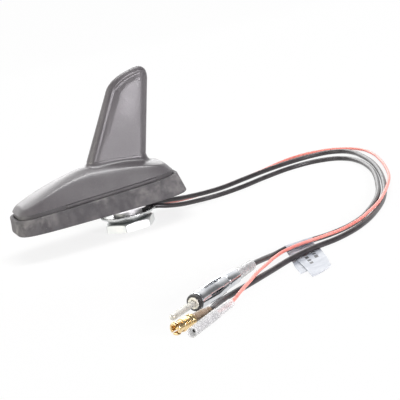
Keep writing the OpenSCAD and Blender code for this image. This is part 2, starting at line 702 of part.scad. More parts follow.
module radio_plug_bush() {
    color("ivory") lay(plug_at, plug_turn) turned([
        [-1.2, shank_r + seat], [-1.2, bush_r], [5, bush_r], [5, shank_r + seat]
    ]);
}

module radio_plug_pin() {
    tip = 0.8;
    wall_end = -ring_proud - seat;
    seam = 0.3;
    color("gainsboro") lay(plug_at, plug_turn) difference() {
        turned([
            [-plug_pin_len, 0], [-plug_pin_len, pin_r - tip], [-plug_pin_len + tip, pin_r],
            [wall_end, pin_r], [wall_end, shank_r], [8, shank_r], [8, 0]
        ]);
        translate([-plug_pin_len - 1, -seam / 2, pin_r - seam])
            cube([plug_pin_len + 1 + wall_end, seam, 2 * seam]);
    }
}

module radio_plug_boot() {
    front = plug_len - 3;
    rear = plug_len + plug_boot_len;
    color("white", 0.5) lay(plug_at, plug_turn) turned([
        [front, boot_bore_r], [front, boot_r], [plug_len, boot_r], [plug_len + 1, boot_r + 0.2],
        [rear - 1, boot_r - 0.2], [rear, boot_r - 0.5], [rear, boot_bore_r]
    ]);
}

gilt_r = gilt_d / 2;
gilt_bore_r = 1.7;
ferrule_r = 1.75;
module gilt_body() {
    petal = 4;
    color("gold") lay(gilt_at, gilt_turn) difference() {
        turned([
            [0, gilt_bore_r], [0, gilt_r - 0.35], [0.7, gilt_r], [1.3, gilt_r], [1.6, gilt_r - 0.45],
            [petal, gilt_r - 0.45], [petal + 0.3, gilt_r - 0.1], [petal + 0.9, gilt_r - 0.1],
            [petal + 1.1, gilt_r - 0.6], [petal + 1.6, gilt_r - 0.6], [petal + 1.8, gilt_r - 0.1],
            [petal + 2.4, gilt_r - 0.1], [petal + 2.6, gilt_r - 0.6], [petal + 3.1, gilt_r - 0.6],
            [petal + 3.3, gilt_r - 0.1], [gilt_len - 4, gilt_r - 0.1], [gilt_len - 3.4, gilt_r],
            [gilt_len - 1.2, gilt_r], [gilt_len, ferrule_r + 0.3], [gilt_len, 0.9],
            [petal + 0.5, 0.9], [petal + 0.5, gilt_bore_r]
        ]);
        for (turn = [45, 135]) rotate([turn, 0, 0])
            translate([-1, -0.35, -gilt_d]) cube([petal + 0.6, 0.7, 2 * gilt_d]);
    }
}

module gilt_insulator() {
    color("ivory") lay(gilt_at, gilt_turn)
        turned([[4.2, 0.5], [4.2, 0.85], [gilt_len, 0.85], [gilt_len, 0.5]]);
}

module gilt_contact() {
    color("gold") lay(gilt_at, gilt_turn)
        turned([[0.9, 0], [0.9, 0.3], [1.1, 0.45], [gilt_len, 0.45], [gilt_len, 0]]);
}

module gilt_ferrule() {
    color("gold") lay(gilt_at, gilt_turn) turned([
        [gilt_len + 0.02, 1.45], [gilt_len + 0.02, ferrule_r], [gilt_len + 7, ferrule_r], [gilt_len + 7, 1.45]
    ]);
}

module gilt_boot() {
    start = gilt_len + 0.1;
    end = gilt_len + gilt_boot_len;
    color("sienna", 0.6) lay(gilt_at, gilt_turn) turned([
        [start, ferrule_r + seat], [start, ferrule_r + 0.4], [gilt_len + 7.6, ferrule_r + 0.4],
        [end, boot_bore_r + 0.3], [end, boot_bore_r], [gilt_len + 7.4, boot_bore_r],
        [gilt_len + 7.1, ferrule_r + seat]
    ]);
}

terminal_r = terminal_d / 2;
module supply_terminal() {
    barrel_r = terminal_r - 0.6;
    wire_end = terminal_len - 12;
    color("silver") lay(terminal_at, terminal_turn) difference() {
        turned([
            [2, barrel_r - 0.4], [2, barrel_r], [11, barrel_r], [12, 1.3], [15, 1.3],
            [15.5, 1.6], [wire_end - 1, 1.6], [wire_end - 0.5, 1.1], [wire_end - 0.5, 0],
            [11, 0], [11, barrel_r - 0.4]
        ]);
        translate([1, -0.3, 0]) cube([9, 0.6, terminal_d]);
    }
}

module supply_boot() {
    wall = 0.4;
    neck_r = 1.5;
    step = terminal_len - 11;
    color("white", 0.5) lay(terminal_at, terminal_turn) turned([
        [0, terminal_r - wall], [0, terminal_r], [step - 1.5, terminal_r],
        [step, neck_r + wall], [terminal_len, neck_r + wall], [terminal_len, neck_r],
        [step - 0.3, neck_r], [step - 1.6, terminal_r - wall]
    ]);
}

// The label is folded round the radio lead and its two leaves lie on the stand level
label_turn = 5.6;
label_middle = [43, -138.15];
main_leaf = [[0, -0.75], [-1.6, -14], [-5, -32], [-9, -49]];
main_skew = [0, 6, 16, 26];
rear_leaf = [[0, -0.75], [-3, -13], [-7, -27], [-9.5, -39]];
rear_skew = [0, 4, 9, 16];
function leaf_row(middle, skew, z) =
    let (v = [cos(label_turn + skew), sin(label_turn + skew)] * label_w / 2)
    [[middle[0] - v[0], middle[1] - v[1], z], [middle[0] + v[0], middle[1] + v[1], z]];
module leaf(line, skew, low, high) {
    skin([for (i = [0 : 3])
        let (a = leaf_row(label_middle + line[i], skew[i], low),
             b = leaf_row(label_middle + line[i], skew[i], high)) [a[0], a[1], b[1], b[0]]]);
}
module flag_label() {
    across = [cos(label_turn), sin(label_turn)];
    color("white") {
        leaf(main_leaf, main_skew, stand_z + label_t * 0.45, stand_z + label_t);
        leaf(rear_leaf, rear_skew, stand_z, stand_z + label_t * 0.55);
        translate([label_middle[0] - across[0] * label_w / 2,
                   label_middle[1] - across[1] * label_w / 2, label_lift])
            rotate([90, 0, 90 + label_turn]) difference() {
                cylinder(r = wrap_out, h = label_w, $fn = 32);
                translate([0, 0, -1]) cylinder(r = wrap_in, h = label_w + 2, $fn = 32);
            }
    }
}

shell();
skirt();
base_tray();
tray_seal();
mounting_stud();
claw_washer();
hex_nut();
cable_grommet();
main_board();
shield_can();
board_parts();
board_screws();
radiator_board();
radiator_plate();
coil_former();
loading_coil();
inner_leads();
radio_lead();
radio_plug_sleeve();
radio_plug_collar();
radio_plug_insulator();
radio_plug_bush();
radio_plug_pin();
radio_plug_boot();
digital_lead();
gilt_body();
gilt_insulator();
gilt_contact();
gilt_ferrule();
gilt_boot();
supply_wire();
supply_terminal();
supply_boot();
flag_label();
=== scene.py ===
"""Looks of the shark fin aerial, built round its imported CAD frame.

The moulded shell, the rubber skirt, the roof fixing, the leads and their plugs are surfaces worked out
with numpy, which stand for the plain solids of the frame. Sizes are in millimetres and become metres
where a mesh is made. The origin is on the mounting stud's axis in the plane of the roof, the nose points
towards -X and the leads leave towards +X.
"""

from __future__ import annotations

import json
import logging
import math
from dataclasses import dataclass, field
from enum import Enum
from typing import Callable, Sequence, Union

import bpy
import numpy as np
from mathutils import Matrix, Vector

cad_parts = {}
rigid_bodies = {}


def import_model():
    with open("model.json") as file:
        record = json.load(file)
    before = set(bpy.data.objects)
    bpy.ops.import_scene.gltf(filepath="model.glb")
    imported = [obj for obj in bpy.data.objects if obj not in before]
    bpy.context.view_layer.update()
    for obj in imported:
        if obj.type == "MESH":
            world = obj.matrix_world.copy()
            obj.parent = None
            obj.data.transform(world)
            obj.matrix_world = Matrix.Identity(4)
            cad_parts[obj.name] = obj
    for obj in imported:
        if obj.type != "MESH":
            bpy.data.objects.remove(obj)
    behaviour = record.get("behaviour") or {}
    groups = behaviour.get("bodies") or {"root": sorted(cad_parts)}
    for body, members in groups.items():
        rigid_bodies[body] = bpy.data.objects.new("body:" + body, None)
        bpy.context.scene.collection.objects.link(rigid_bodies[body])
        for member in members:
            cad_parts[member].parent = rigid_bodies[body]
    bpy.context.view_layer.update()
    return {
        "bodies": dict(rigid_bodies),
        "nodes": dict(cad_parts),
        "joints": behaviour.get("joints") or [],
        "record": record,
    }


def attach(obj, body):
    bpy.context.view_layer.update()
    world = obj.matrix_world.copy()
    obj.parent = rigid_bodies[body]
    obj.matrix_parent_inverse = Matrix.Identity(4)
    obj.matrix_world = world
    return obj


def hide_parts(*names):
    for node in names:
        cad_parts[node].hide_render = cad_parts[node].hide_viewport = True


MM = 0.001
TURN = 2 * math.pi
ROOT = "root"

Array = np.ndarray
Number = Union[float, np.ndarray]
Height = Union[float, Callable[[np.ndarray], np.ndarray]]
Outline = tuple[float, float, float]
Point = tuple[float, float, float]
Colour = tuple[float, float, float, float]
Range = tuple[float, float]
Piece = bpy.types.Object
Socket = bpy.types.NodeSocket
Value = Union[float, tuple, bpy.types.NodeSocket]

log = logging.getLogger("shark_fin_aerial")


class Slot(str, Enum):
    """Material slots of the record that the pieces take their finish from."""

    SHELL = "shell_plastic"
    SKIRT = "skirt_rubber"
    TRAY = "tray_plastic"
    SEAL = "seal_rubber"
    ZINC = "zinc"
    BOARD = "circuit_board"
    TIN = "tinned_steel"
    BLACK = "black_plastic"
    COPPER = "copper"
    IVORY = "ivory_plastic"
    SHEATH = "lead_sheath"
    NICKEL = "nickel_plate"
    CLEAR = "clear_sleeve"
    GILT = "gilt"
    BROWN = "brown_sleeve"
    WIRE = "wire_insulation"
    LABEL = "label_film"


class FarEnd(str, Enum):
    """What is on the far end of a lead."""

    PLUG = "plug"
    CONNECTOR = "connector"
    FITTING = "fitting"


class Stiffness(str, Enum):
    """How stiff a lead is."""

    MEDIUM = "medium"
    LIMP = "limp"


# Small helpers on numbers


def mix(a: Number, b: Number, t: Number) -> Number:
    """Straight blend from a to b: a plus t times their difference."""
    return a + (b - a) * t


def smooth(value: Number, low: float, high: float) -> Number:
    """Smooth step from 0 at low to 1 at high: three times the squared share less twice its cube."""
    t = np.clip((value - low) / (high - low), 0.0, 1.0)
    return t * t * (3.0 - 2.0 * t)


def soft_min(a: Number, b: Number, blend: float) -> Number:
    """The lower of two heights, rounded where they cross.

    Args:
        a: One height.
        b: The other height.
        blend: How far from the crossing the rounding starts.

    Returns:
        The lower height, less the product of both shares times the blend near the crossing.
    """
    share = np.clip(0.5 + 0.5 * (b - a) / blend, 0.0, 1.0)
    return mix(b, a, share) - blend * share * (1.0 - share)


def bend(a: Number, b: Number, c: Number, t: Number) -> Number:
    """Curve from a to c with its corner point at b: the straight blend of two straight blends."""
    return mix(mix(a, b, t), mix(b, c, t), t)


def ripple(x: Array, y: Array, z: Array, seed: float) -> Array:
    """Slow waviness between about -1 and 1, the same at each run.

    Args:
        x: Places along the part.
        y: Places across the part.
        z: Heights.
        seed: Shifts the waves.

    Returns:
        Half the sum of three sine waves of different lengths and directions.
    """
    return (
        np.sin(0.31 * x + 1.7 * seed) * np.cos(0.23 * y - seed)
        + 0.6 * np.sin(0.57 * x - 0.41 * y + 0.83 * z + 2.3 * seed)
        + 0.4 * np.cos(1.13 * x + 0.9 * z - seed)
    ) / 2.0


def even_angles(count: int) -> Array:
    """Even angles round a full turn, without the last."""
    return np.linspace(0, TURN, count, endpoint=False)


def rounded(profile: Sequence[Sequence[float]], radii: Sequence[float], steps: int = 5) -> Array:
    """Rounds the corners of an open profile.

    Each rounding is a curve with its corner point at the corner. It reaches along both sides by the
    radius, or by 0.45 of the shorter side where that is less.

    Args:
        profile: The corner points.
        radii: One radius for each point, 0 for a corner that stays sharp.
        steps: Points along each rounding.

    Returns:
        The points of the rounded profile.
    """
    points = np.array(profile, float)
    corner = points[1:-1]
    to_before, to_after = points[:-2] - corner, points[2:] - corner
    before_len = np.linalg.norm(to_before, axis=1, keepdims=True)
    after_len = np.linalg.norm(to_after, axis=1, keepdims=True)
    radius = np.array(radii, float)[1:-1, None]
    reach = np.minimum(radius, 0.45 * np.minimum(before_len, after_len))
    start = corner + to_before / before_len * reach
    end = corner + to_after / after_len * reach
    t = np.linspace(0, 1, steps)[:, None]
    curves = bend(start[:, None], corner[:, None], end[:, None], t)
    kept = (radius > 0) | (np.arange(steps) == 0)
    return np.vstack([points[:1], curves[kept], points[-1:]])


def closed_profile(points: Sequence[Sequence[float]], radius: float) -> Array:
    """Rounds all corners of a closed profile of (along, radius).

    Args:
        points: The corner points in order.
        radius: Radius of each rounding.

    Returns:
        The points of the profile, which starts halfway between its first and its last corner.
    """
    start = mix(np.array(points[0], float), np.array(points[-1], float), 0.5)
    return rounded([start, *points, start], [0, *[radius] * len(points), 0])[:-1]


# Meshes


def make_mesh(name: str, points: Array, faces: Sequence[Sequence[int]], sharp_deg: float = 40.0) -> Piece:
    """Makes a smoothly shaded object at the origin.

    Args:
        name: Name of the object and of its mesh.
        points: Its points in millimetres.
        faces: Its faces as lists of point numbers.
        sharp_deg: Edges over this angle stay crisp.

    Returns:
        The new object.
    """
    mesh = bpy.data.meshes.new(name)
    mesh.from_pydata((points * MM).tolist(), [], faces)
    mesh.validate()
    mesh.polygons.foreach_set("use_smooth", np.ones(len(mesh.polygons), bool))
    mesh.set_sharp_from_angle(angle=math.radians(sharp_deg))
    piece = bpy.data.objects.new(name, mesh)
    bpy.context.scene.collection.objects.link(piece)
    return piece


def grid_faces(rows: int, columns: int, wrap_rows: bool, wrap_columns: bool) -> Array:
    """Quads of a grid of points that are numbered row by row.

    Args:
        rows: Count of rows.
        columns: Count of columns.
        wrap_rows: Whether the last row joins the first.
        wrap_columns: Whether the last column joins the first.

    Returns:
        One line of four point numbers for each quad.
    """
    row = np.arange(rows if wrap_rows else rows - 1)[:, None]
    column = np.arange(columns if wrap_columns else columns - 1)
    next_row, next_column = (row + 1) % rows, (column + 1) % columns
    quads = (
        row * columns + column, row * columns + next_column,
        next_row * columns + next_column, next_row * columns + column,
    )
    return np.stack(quads, -1).reshape(-1, 4)


def loft(name: str, rings: Array, loop: bool = False, sharp_deg: float = 40.0) -> Piece:
    """Closed skin over rings of equal count.

    Quads join each ring to the next. At each end a fan of triangles meets in the ring's middle.

    Args:
        name: Name of the new object.
        rings: Rings of points, each counter-clockwise seen from the last one.
        loop: Whether the last ring joins the first, in place of the two fans.
        sharp_deg: Edges over this angle stay crisp.

    Returns:
        The new object.
    """
    rings = np.asarray(rings)
    count = rings.shape[1]
    points = rings.reshape(-1, 3)
    faces = grid_faces(len(rings), count, loop, True).tolist()
    if not loop:
        middle, last = len(points), len(points) - count
        points = np.vstack([points, rings[0].mean(0), rings[-1].mean(0)])
        here = np.arange(count)
        ahead = (here + 1) % count
        faces += np.stack([np.full(count, middle), ahead, here], 1).tolist()
        faces += np.stack([np.full(count, middle + 1), last + here, last + ahead], 1).tolist()
    return make_mesh(name, points, faces, sharp_deg)


def join(name: str, pieces: Sequence[Piece]) -> Piece:
    """Joins pieces into one object.

    Args:
        name: Name of the joined object.
        pieces: The pieces, of which the first one stays.

    Returns:
        The joined object.
    """
    for other in bpy.context.view_layer.objects:
        other.select_set(False)
    for piece in pieces:
        piece.select_set(True)
    bpy.context.view_layer.objects.active = pieces[0]
    bpy.ops.object.join()
    pieces[0].name = name
    pieces[0].data.name = name
    return pieces[0]


@dataclass(frozen=True)
class Lay:
    """Where a plug lies: its front end and the way its tail points, seen from above."""

    front: Point
    turn: float

    @property
    def frame(self) -> Array:
        """Rows: towards the tail, to its left, and up."""
        t = math.radians(self.turn)
        return np.array([[math.cos(t), math.sin(t), 0], [-math.sin(t), math.cos(t), 0], [0, 0, 1]])

    def at(self, local: Array) -> Array:
        """Turns points of (along, left, up) into points of the part."""
        return np.array(self.front) + local @ self.frame

    def behind(self, distance: float) -> Point:
        """The point of the axis at a distance behind the front."""
        return tuple(self.at(np.array([distance, 0.0, 0.0])))

    def turned(self, along: Number, radius: Number, angle: Number) -> Array:
        """Points about the axis: the radius times the angle's cosine to the left, its sine up.

        Args:
            along: Places behind the front.
            radius: Radii, which may differ round the axis.
            angle: Angles round the axis.

        Returns:
            Points of the part, one for each place and angle.
        """
        along, radius, angle = np.broadcast_arrays(along, radius, angle)
        return self.at(np.stack([along, radius * np.cos(angle), radius * np.sin(angle)], -1))


def lathe(name: str, lay: Lay, profile: Array, sides: int = 96, sharp_deg: float = 40.0) -> Piece:
    """Turns a closed profile about a plug's axis.

    Args:
        name: Name of the new object.
        lay: Where the plug lies.
        profile: Points of (along, radius).
        sides: Count of points round the axis.
        sharp_deg: Edges over this angle stay crisp.

    Returns:
        The new object.
    """
    rings = lay.turned(profile[:, :1], profile[:, 1:], even_angles(sides))
    return loft(name, rings, loop=True, sharp_deg=sharp_deg)


def slotted_tube(
    name: str, lay: Lay, rows: Array, angles: Array, radii: tuple[Array, Array], gap: Array
) -> Piece:
    """Thin tube with windows.

    The outer and the inner skin are grids of rows by angles. Each closed cell has a quad on both skins,
    and a quad between them on each side where it borders on a window or on an end of the tube.

    Args:
        name: Name of the new object.
        lay: Where the tube lies.
        rows: Places along the tube, in order.
        angles: Angles round the tube, in order, without the last.
        radii: Outer and inner radius at each row.
        gap: For each cell between two rows and two angles, whether it is open.

    Returns:
        The new object.
    """
    count, half = len(angles), len(rows) * len(angles)
    skins = [lay.turned(rows[:, None], radius[:, None], angles) for radius in radii]
    column = np.arange(count)
    a = np.arange(len(rows) - 1)[:, None] * count + column
    b = a - column + (column + 1) % count
    c, d = a + count, b + count
    end = np.ones((1, count), bool)
    quads = (
        (True, (a, c, d, b)),
        (True, (half + a, half + b, half + d, half + c)),
        (np.vstack([end, gap[:-1]]), (a, b, half + b, half + a)),
        (np.vstack([gap[1:], end]), (c, half + c, half + d, d)),
        (np.roll(gap, 1, axis=1), (a, half + a, half + c, c)),
        (np.roll(gap, -1, axis=1), (b, d, half + d, half + b)),
    )
    faces = np.concatenate([np.stack(corners, -1)[~gap & borders] for borders, corners in quads])
    return make_mesh(name, np.concatenate(skins).reshape(-1, 3), faces.tolist(), 35)


def tube(name: str, path: Array, radius: float, sides: int = 20) -> Piece:
    """Round tube along a path, closed at both ends.

    Each ring lies in the plane of a level side vector and the vector square to it and to the path.

    Args:
        name: Name of the new object.
        path: Points of the tube's axis.
        radius: Radius of the tube.
        sides: Count of points in each ring.

    Returns:
        The new object.
    """
    along = np.gradient(path, axis=0)
    along /= np.linalg.norm(along, axis=1, keepdims=True)
    side = np.cross([0.0, 0.0, 1.0], along)
    side /= np.linalg.norm(side, axis=1, keepdims=True)
    up = np.cross(along, side)
    angles = even_angles(sides)[:, None]
    rings = path[:, None] + radius * (np.cos(angles) * side[:, None] + np.sin(angles) * up[:, None])
    return loft(name, rings, sharp_deg=60)


def smooth_path(route: Sequence[Point], step: float = 1.0) -> Array:
    """Smooth curve through a route's points, sampled at even steps.

    Each span is a cubic between two points. The slope at a point blends the directions of the two spans
    that meet there by their lengths.

    Args:
        route: The points.
        step: Distance between the samples.

    Returns:
        The sampled points.
    """
    points = np.array(route, float)
    gaps = np.linalg.norm(np.diff(points, axis=0), axis=1)
    knots = np.concatenate([[0], np.cumsum(gaps)])
    chords = np.diff(points, axis=0) / gaps[:, None]
    share = (gaps[:-1] / (gaps[:-1] + gaps[1:]))[:, None]
    slopes = np.vstack([chords[:1], mix(chords[:-1], chords[1:], share), chords[-1:]])
    fine = np.linspace(0, knots[-1], int(knots[-1] * 8))
    index = np.clip(np.searchsorted(knots, fine, side="right") - 1, 0, len(gaps) - 1)
    t = ((fine - knots[index]) / gaps[index])[:, None]
    span = gaps[index][:, None]
    curve = (
        (2 * t**3 - 3 * t**2 + 1) * points[index]
        + (t**3 - 2 * t**2 + t) * span * slopes[index]
        + (3 * t**2 - 2 * t**3) * points[index + 1]
        + (t**3 - t**2) * span * slopes[index + 1]
    )
    run = np.concatenate([[0], np.cumsum(np.linalg.norm(np.diff(curve, axis=0), axis=1))])
    even = np.linspace(0, run[-1], int(run[-1] / step) + 1)
    return np.stack([np.interp(even, run, curve[:, axis]) for axis in range(3)], 1)


# Finishes


def rgb(red: float, green: float, blue: float) -> Colour:
    """An opaque colour."""
    return red, green, blue, 1.0


class Nodes:
    """Adds nodes to one tree and links them."""

    def __init__(self, tree: bpy.types.NodeTree) -> None:
        """Starts on a tree, of which it reads the object's own coordinates, in metres."""
        self.tree = tree
        self.place = self.node("ShaderNodeTexCoord").outputs["Object"]

    def put(self, socket: Socket, value: Value) -> None:
        """Links a socket to an input, or sets the input to a plain value.

        Args:
            socket: The input.
            value: Another node's output, a number or a colour.
        """
        if isinstance(value, bpy.types.NodeSocket):
            self.tree.links.new(value, socket)
        else:
            socket.default_value = value

    def node(self, kind: str, inputs: dict | None = None, **settings: object) -> bpy.types.Node:
        """Adds a node.

        Args:
            kind: Blender's name of the node.
            inputs: Values or sockets by the name or number of the input.
            **settings: Properties of the node.

        Returns:
            The new node.
        """
        node = self.tree.nodes.new(kind)
        for name, value in settings.items():
            setattr(node, name, value)
        for key, value in (inputs or {}).items():
            self.put(node.inputs[key], value)
        return node

    def stretched(self, x: float, y: float, z: float) -> Socket:
        """The object's coordinates, stretched along each axis."""
        return self.node("ShaderNodeMapping", {"Vector": self.place, "Scale": (x, y, z)}).outputs[0]

    def noise(self, size_mm: float, detail: float = 3, rough: float = 0.55, warp: float = 0,
              place: Socket | None = None) -> Socket:
        """Noise whose blotches are about size_mm across.

        Args:
            size_mm: Size of the blotches.
            detail: Count of finer layers.
            rough: Strength of each finer layer.
            warp: How far the blotches are drawn out.
            place: Coordinates, where they aren't the object's own.

        Returns:
            The noise, from 0 to 1.
        """
        inputs = {"Vector": place or self.place, "Scale": 1.0 / (size_mm * MM)}
        inputs |= {"Detail": detail, "Roughness": rough, "Distortion": warp}
        return self.node("ShaderNodeTexNoise", inputs).outputs["Fac"]

    def cells(self, size_mm: float) -> Socket:
        """Distance to the nearest of many scattered points, about size_mm apart."""
        inputs = {"Vector": self.place, "Scale": 1.0 / (size_mm * MM)}
        return self.node("ShaderNodeTexVoronoi", inputs).outputs["Distance"]

    def spread(
        self, source: Value, low: float, high: float, to_low: float = 0.0, to_high: float = 1.0
    ) -> Socket:
        """Maps a range onto another, smoothly and clamped.

        Args:
            source: What is mapped.
            low: Start of its range.
            high: End of its range.
            to_low: Result at the start.
            to_high: Result at the end.

        Returns:
            The mapped value.
        """
        inputs = {"Value": source, 1: low, 2: high, 3: to_low, 4: to_high}
        return self.node("ShaderNodeMapRange", inputs, interpolation_type="SMOOTHSTEP").outputs[0]

    def math(self, kind: str, a: Value, b: Value = 0.0) -> Socket:
        """A sum, a product or another operation on two numbers or sockets."""
        return self.node("ShaderNodeMath", {0: a, 1: b}, operation=kind).outputs[0]

    def parts(self, vector: Socket) -> tuple[Socket, Socket, Socket]:
        """The three parts of a vector."""
        return tuple(self.node("ShaderNodeSeparateXYZ", {0: vector}).outputs)

    def blend(self, factor: Value, a: Value, b: Value) -> Socket:
        """Colour a where the factor is 0 and b where it is 1."""
        return self.node("ShaderNodeMix", {0: factor, 6: a, 7: b}, data_type="RGBA").outputs[2]

    def bump(
        self, height: Socket, depth_mm: float, strength: float = 1.0, below: Socket | None = None
    ) -> Socket:
        """Normals of a relief on the surface.

        Args:
            height: Height of the relief, from 0 to 1.
            depth_mm: Its depth.
            strength: Its share.
            below: Normals of another relief that it lies on.

        Returns:
            The normals.
        """
        inputs = {"Height": height, "Distance": depth_mm * MM, "Strength": strength}
        if below is not None:
            inputs["Normal"] = below
        return self.node("ShaderNodeBump", inputs).outputs[0]

    def shown(self) -> Socket:
        """1 for the rays that show the background: the camera's, and those by metal and clear parts."""
        rays = self.node("ShaderNodeLightPath").outputs
        mirrored = self.math("MAXIMUM", rays["Is Glossy Ray"], rays["Is Transmission Ray"])
        return self.math("MAXIMUM", rays["Is Camera Ray"], mirrored)


@dataclass(frozen=True)
class Finish:
    """A finish of a surface. Each kind says how its shader's inputs are made."""

    name: str

    def surface(self, nodes: Nodes) -> dict[str, Value]:
        """The shader's inputs by name, as plain values or as outputs of new nodes."""
        raise NotImplementedError

    def make(self) -> bpy.types.Material:
        """Makes the material."""
        material = bpy.data.materials.new(self.name)
        material.use_nodes = True
        shader = next(n for n in material.node_tree.nodes if n.type == "BSDF_PRINCIPLED")
        nodes = Nodes(material.node_tree)
        for name, value in self.surface(nodes).items():
            nodes.put(shader.inputs[name], value)
        return material


@dataclass(frozen=True)
class ShellPlastic(Finish):
    """Finely grained warm grey plastic, a little worn to a shine in places."""

    dark: Colour = rgb(0.086, 0.079, 0.085)
    light: Colour = rgb(0.102, 0.095, 0.101)
    grain: Colour = rgb(0.17, 0.16, 0.168)
    rough: Range = (0.31, 0.36)

    def surface(self, nodes: Nodes) -> dict[str, Value]:
        """Slow clouds set tone and gloss. Fine noise lightens the grain's tops and raises them."""
        grain, cloud = nodes.noise(0.34, 3, 0.6), nodes.noise(14, 3, 0.5)
        tone = nodes.blend(nodes.spread(cloud, 0.35, 0.65), self.dark, self.light)
        raised = nodes.bump(grain, 0.06, 0.7)
        return {
            "Base Color": nodes.blend(nodes.spread(grain, 0.5, 0.7, 0, 0.5), tone, self.grain),
            "Roughness": nodes.spread(cloud, 0.3, 0.7, *self.rough),
            "Normal": nodes.bump(nodes.cells(0.5), 0.03, 0.35, raised),
            "Specular IOR Level": 0.7,
        }


@dataclass(frozen=True)
class SkirtRubber(Finish):
    """Dull moulded rubber with dust in blotches and faint streaks down its wall."""

    dark: Colour = rgb(0.078, 0.073, 0.078)
    light: Colour = rgb(0.104, 0.099, 0.104)
    dust: Colour = rgb(0.20, 0.19, 0.19)
    speck: Colour = rgb(0.30, 0.28, 0.27)
    rough: Range = (0.62, 0.82)

    def surface(self, nodes: Nodes) -> dict[str, Value]:
        """Dust lies where both a middling and a slow noise are high, specks at scattered points."""
        blotch, cloud = nodes.noise(9, 3, 0.55, 0.25), nodes.noise(24, 2, 0.5)
        streak, fine = nodes.noise(4, 3, 0.5, 0.1, nodes.stretched(1, 1, 0.7)), nodes.noise(0.6, 3, 0.6)
        thick = nodes.spread(cloud, 0.38, 0.62, 0.25, 1.0)
        dust = nodes.math("MULTIPLY", nodes.spread(blotch, 0.44, 0.68), thick)
        clean = nodes.blend(nodes.spread(streak, 0.35, 0.65), self.dark, self.light)
        specks = nodes.spread(nodes.cells(3.1), 0.09, 0.03, 0, 0.25)
        return {
            "Base Color": nodes.blend(specks, nodes.blend(dust, clean, self.dust), self.speck),
            "Roughness": nodes.spread(blotch, 0.3, 0.7, *self.rough),
            "Normal": nodes.bump(streak, 0.05, 0.3, nodes.bump(fine, 0.06, 0.6)),
            "Specular IOR Level": 0.35,
        }


@dataclass(frozen=True)
class TrayPlastic(Finish):
    """Satin plastic of the tray, about as grey as the shell."""

    dark: Colour = rgb(0.080, 0.075, 0.079)
    light: Colour = rgb(0.104, 0.098, 0.102)
    rough: Range = (0.5, 0.6)

    def surface(self, nodes: Nodes) -> dict[str, Value]:
        """Slow clouds set the tone. Fine noise sets the gloss and the relief."""
        fine, cloud = nodes.noise(0.4), nodes.noise(9)
        return {
            "Base Color": nodes.blend(nodes.spread(cloud, 0.3, 0.7), self.dark, self.light),
            "Roughness": nodes.spread(fine, 0.3, 0.7, *self.rough),
            "Normal": nodes.bump(fine, 0.03, 0.4),
        }


@dataclass(frozen=True)
class Plated(Finish):
    """Plated metal with a slightly cloudy surface."""

    dark: Colour
    light: Colour
    rough: Range
    grain_mm: float
    metal: float = 1.0

    def surface(self, nodes: Nodes) -> dict[str, Value]:
        """Clouds of eight times the grain's size set the tone. The grain sets gloss and relief."""
        cloud, fine = nodes.noise(self.grain_mm * 8, 3, 0.6), nodes.noise(self.grain_mm, 3, 0.6)
        return {
            "Base Color": nodes.blend(nodes.spread(cloud, 0.35, 0.65), self.dark, self.light),
            "Roughness": nodes.spread(fine, 0.3, 0.7, *self.rough),
            "Normal": nodes.bump(fine, 0.02, 0.3),
            "Metallic": self.metal,
        }


@dataclass(frozen=True)
class PaintedShadeZinc(Plated):
    """Zinc of the nut, darkened by painted shade in the gap under the washer."""

    shade_colour: Colour = rgb(0.09, 0.10, 0.10)
    unshaded_z: float = -9.4
    shaded_z: float = -8.6

    def surface(self, nodes: Nodes) -> dict[str, Value]:
        """Plate whose colour and metallic share fade with the height into a dark painted shade."""
        inputs = super().surface(nodes)
        height = nodes.parts(nodes.place)[2]
        # Painted shade: the nut darkens towards its top, in the gap under the washer, where shade falls.
        share = nodes.spread(height, self.unshaded_z * MM, self.shaded_z * MM, 0, 0.9)
        inputs["Base Color"] = nodes.blend(share, inputs["Base Color"], self.shade_colour)
        inputs["Metallic"] = nodes.spread(share, 0, 1, 1, 0.4)
        return inputs


@dataclass(frozen=True)
class ThreadedZinc(Finish):
    """Zinc with the stud's fine thread on its side, below the smooth shoulder."""

    dark: Colour = rgb(0.86, 0.87, 0.87)
    light: Colour = rgb(0.92, 0.92, 0.91)
    rough: Range = (0.50, 0.60)
    pitch_mm: float = 1.5
    top_z: float = -6.2

    def surface(self, nodes: Nodes) -> dict[str, Value]:
        """The thread's height is a triangle wave of the height in pitches plus the turn round the axis."""
        x, y, z = nodes.parts(nodes.place)
        turn = nodes.math("DIVIDE", nodes.math("ARCTAN2", y, x), TURN)
        phase = nodes.math("ADD", nodes.math("DIVIDE", z, self.pitch_mm * MM), turn)
        wave = nodes.math("PINGPONG", phase, 0.5)
        facing = nodes.node("ShaderNodeNewGeometry").outputs["Normal"]
        upright = nodes.spread(nodes.math("ABSOLUTE", nodes.parts(facing)[2]), 0.6, 0.4)
        below = nodes.spread(z, self.top_z * MM, (self.top_z - 0.4) * MM)
        threaded = nodes.math("MULTIPLY", upright, below)
        fine = nodes.noise(0.5)
        return {
            "Base Color": nodes.blend(nodes.spread(fine, 0.3, 0.7), self.dark, self.light),
            "Roughness": nodes.spread(fine, 0.3, 0.7, *self.rough),
            "Normal": nodes.bump(nodes.math("MULTIPLY", wave, threaded), 0.9, 0.8),
            "Metallic": 1.0,
        }


@dataclass(frozen=True)
class PlainPlastic(Finish):
    """Plain plastic, with slight cloudiness in colour and gloss."""

    dark: Colour
    light: Colour
    rough: Range
    cloud_mm: float = 1.5
    depth_mm: float = 0.03

    def surface(self, nodes: Nodes) -> dict[str, Value]:
        """One noise sets tone, gloss and relief."""
        cloud = nodes.noise(self.cloud_mm, 3, 0.6)
        return {
            "Base Color": nodes.blend(nodes.spread(cloud, 0.3, 0.7), self.dark, self.light),
            "Roughness": nodes.spread(cloud, 0.3, 0.7, *self.rough),
            "Normal": nodes.bump(cloud, self.depth_mm, 0.3),
        }


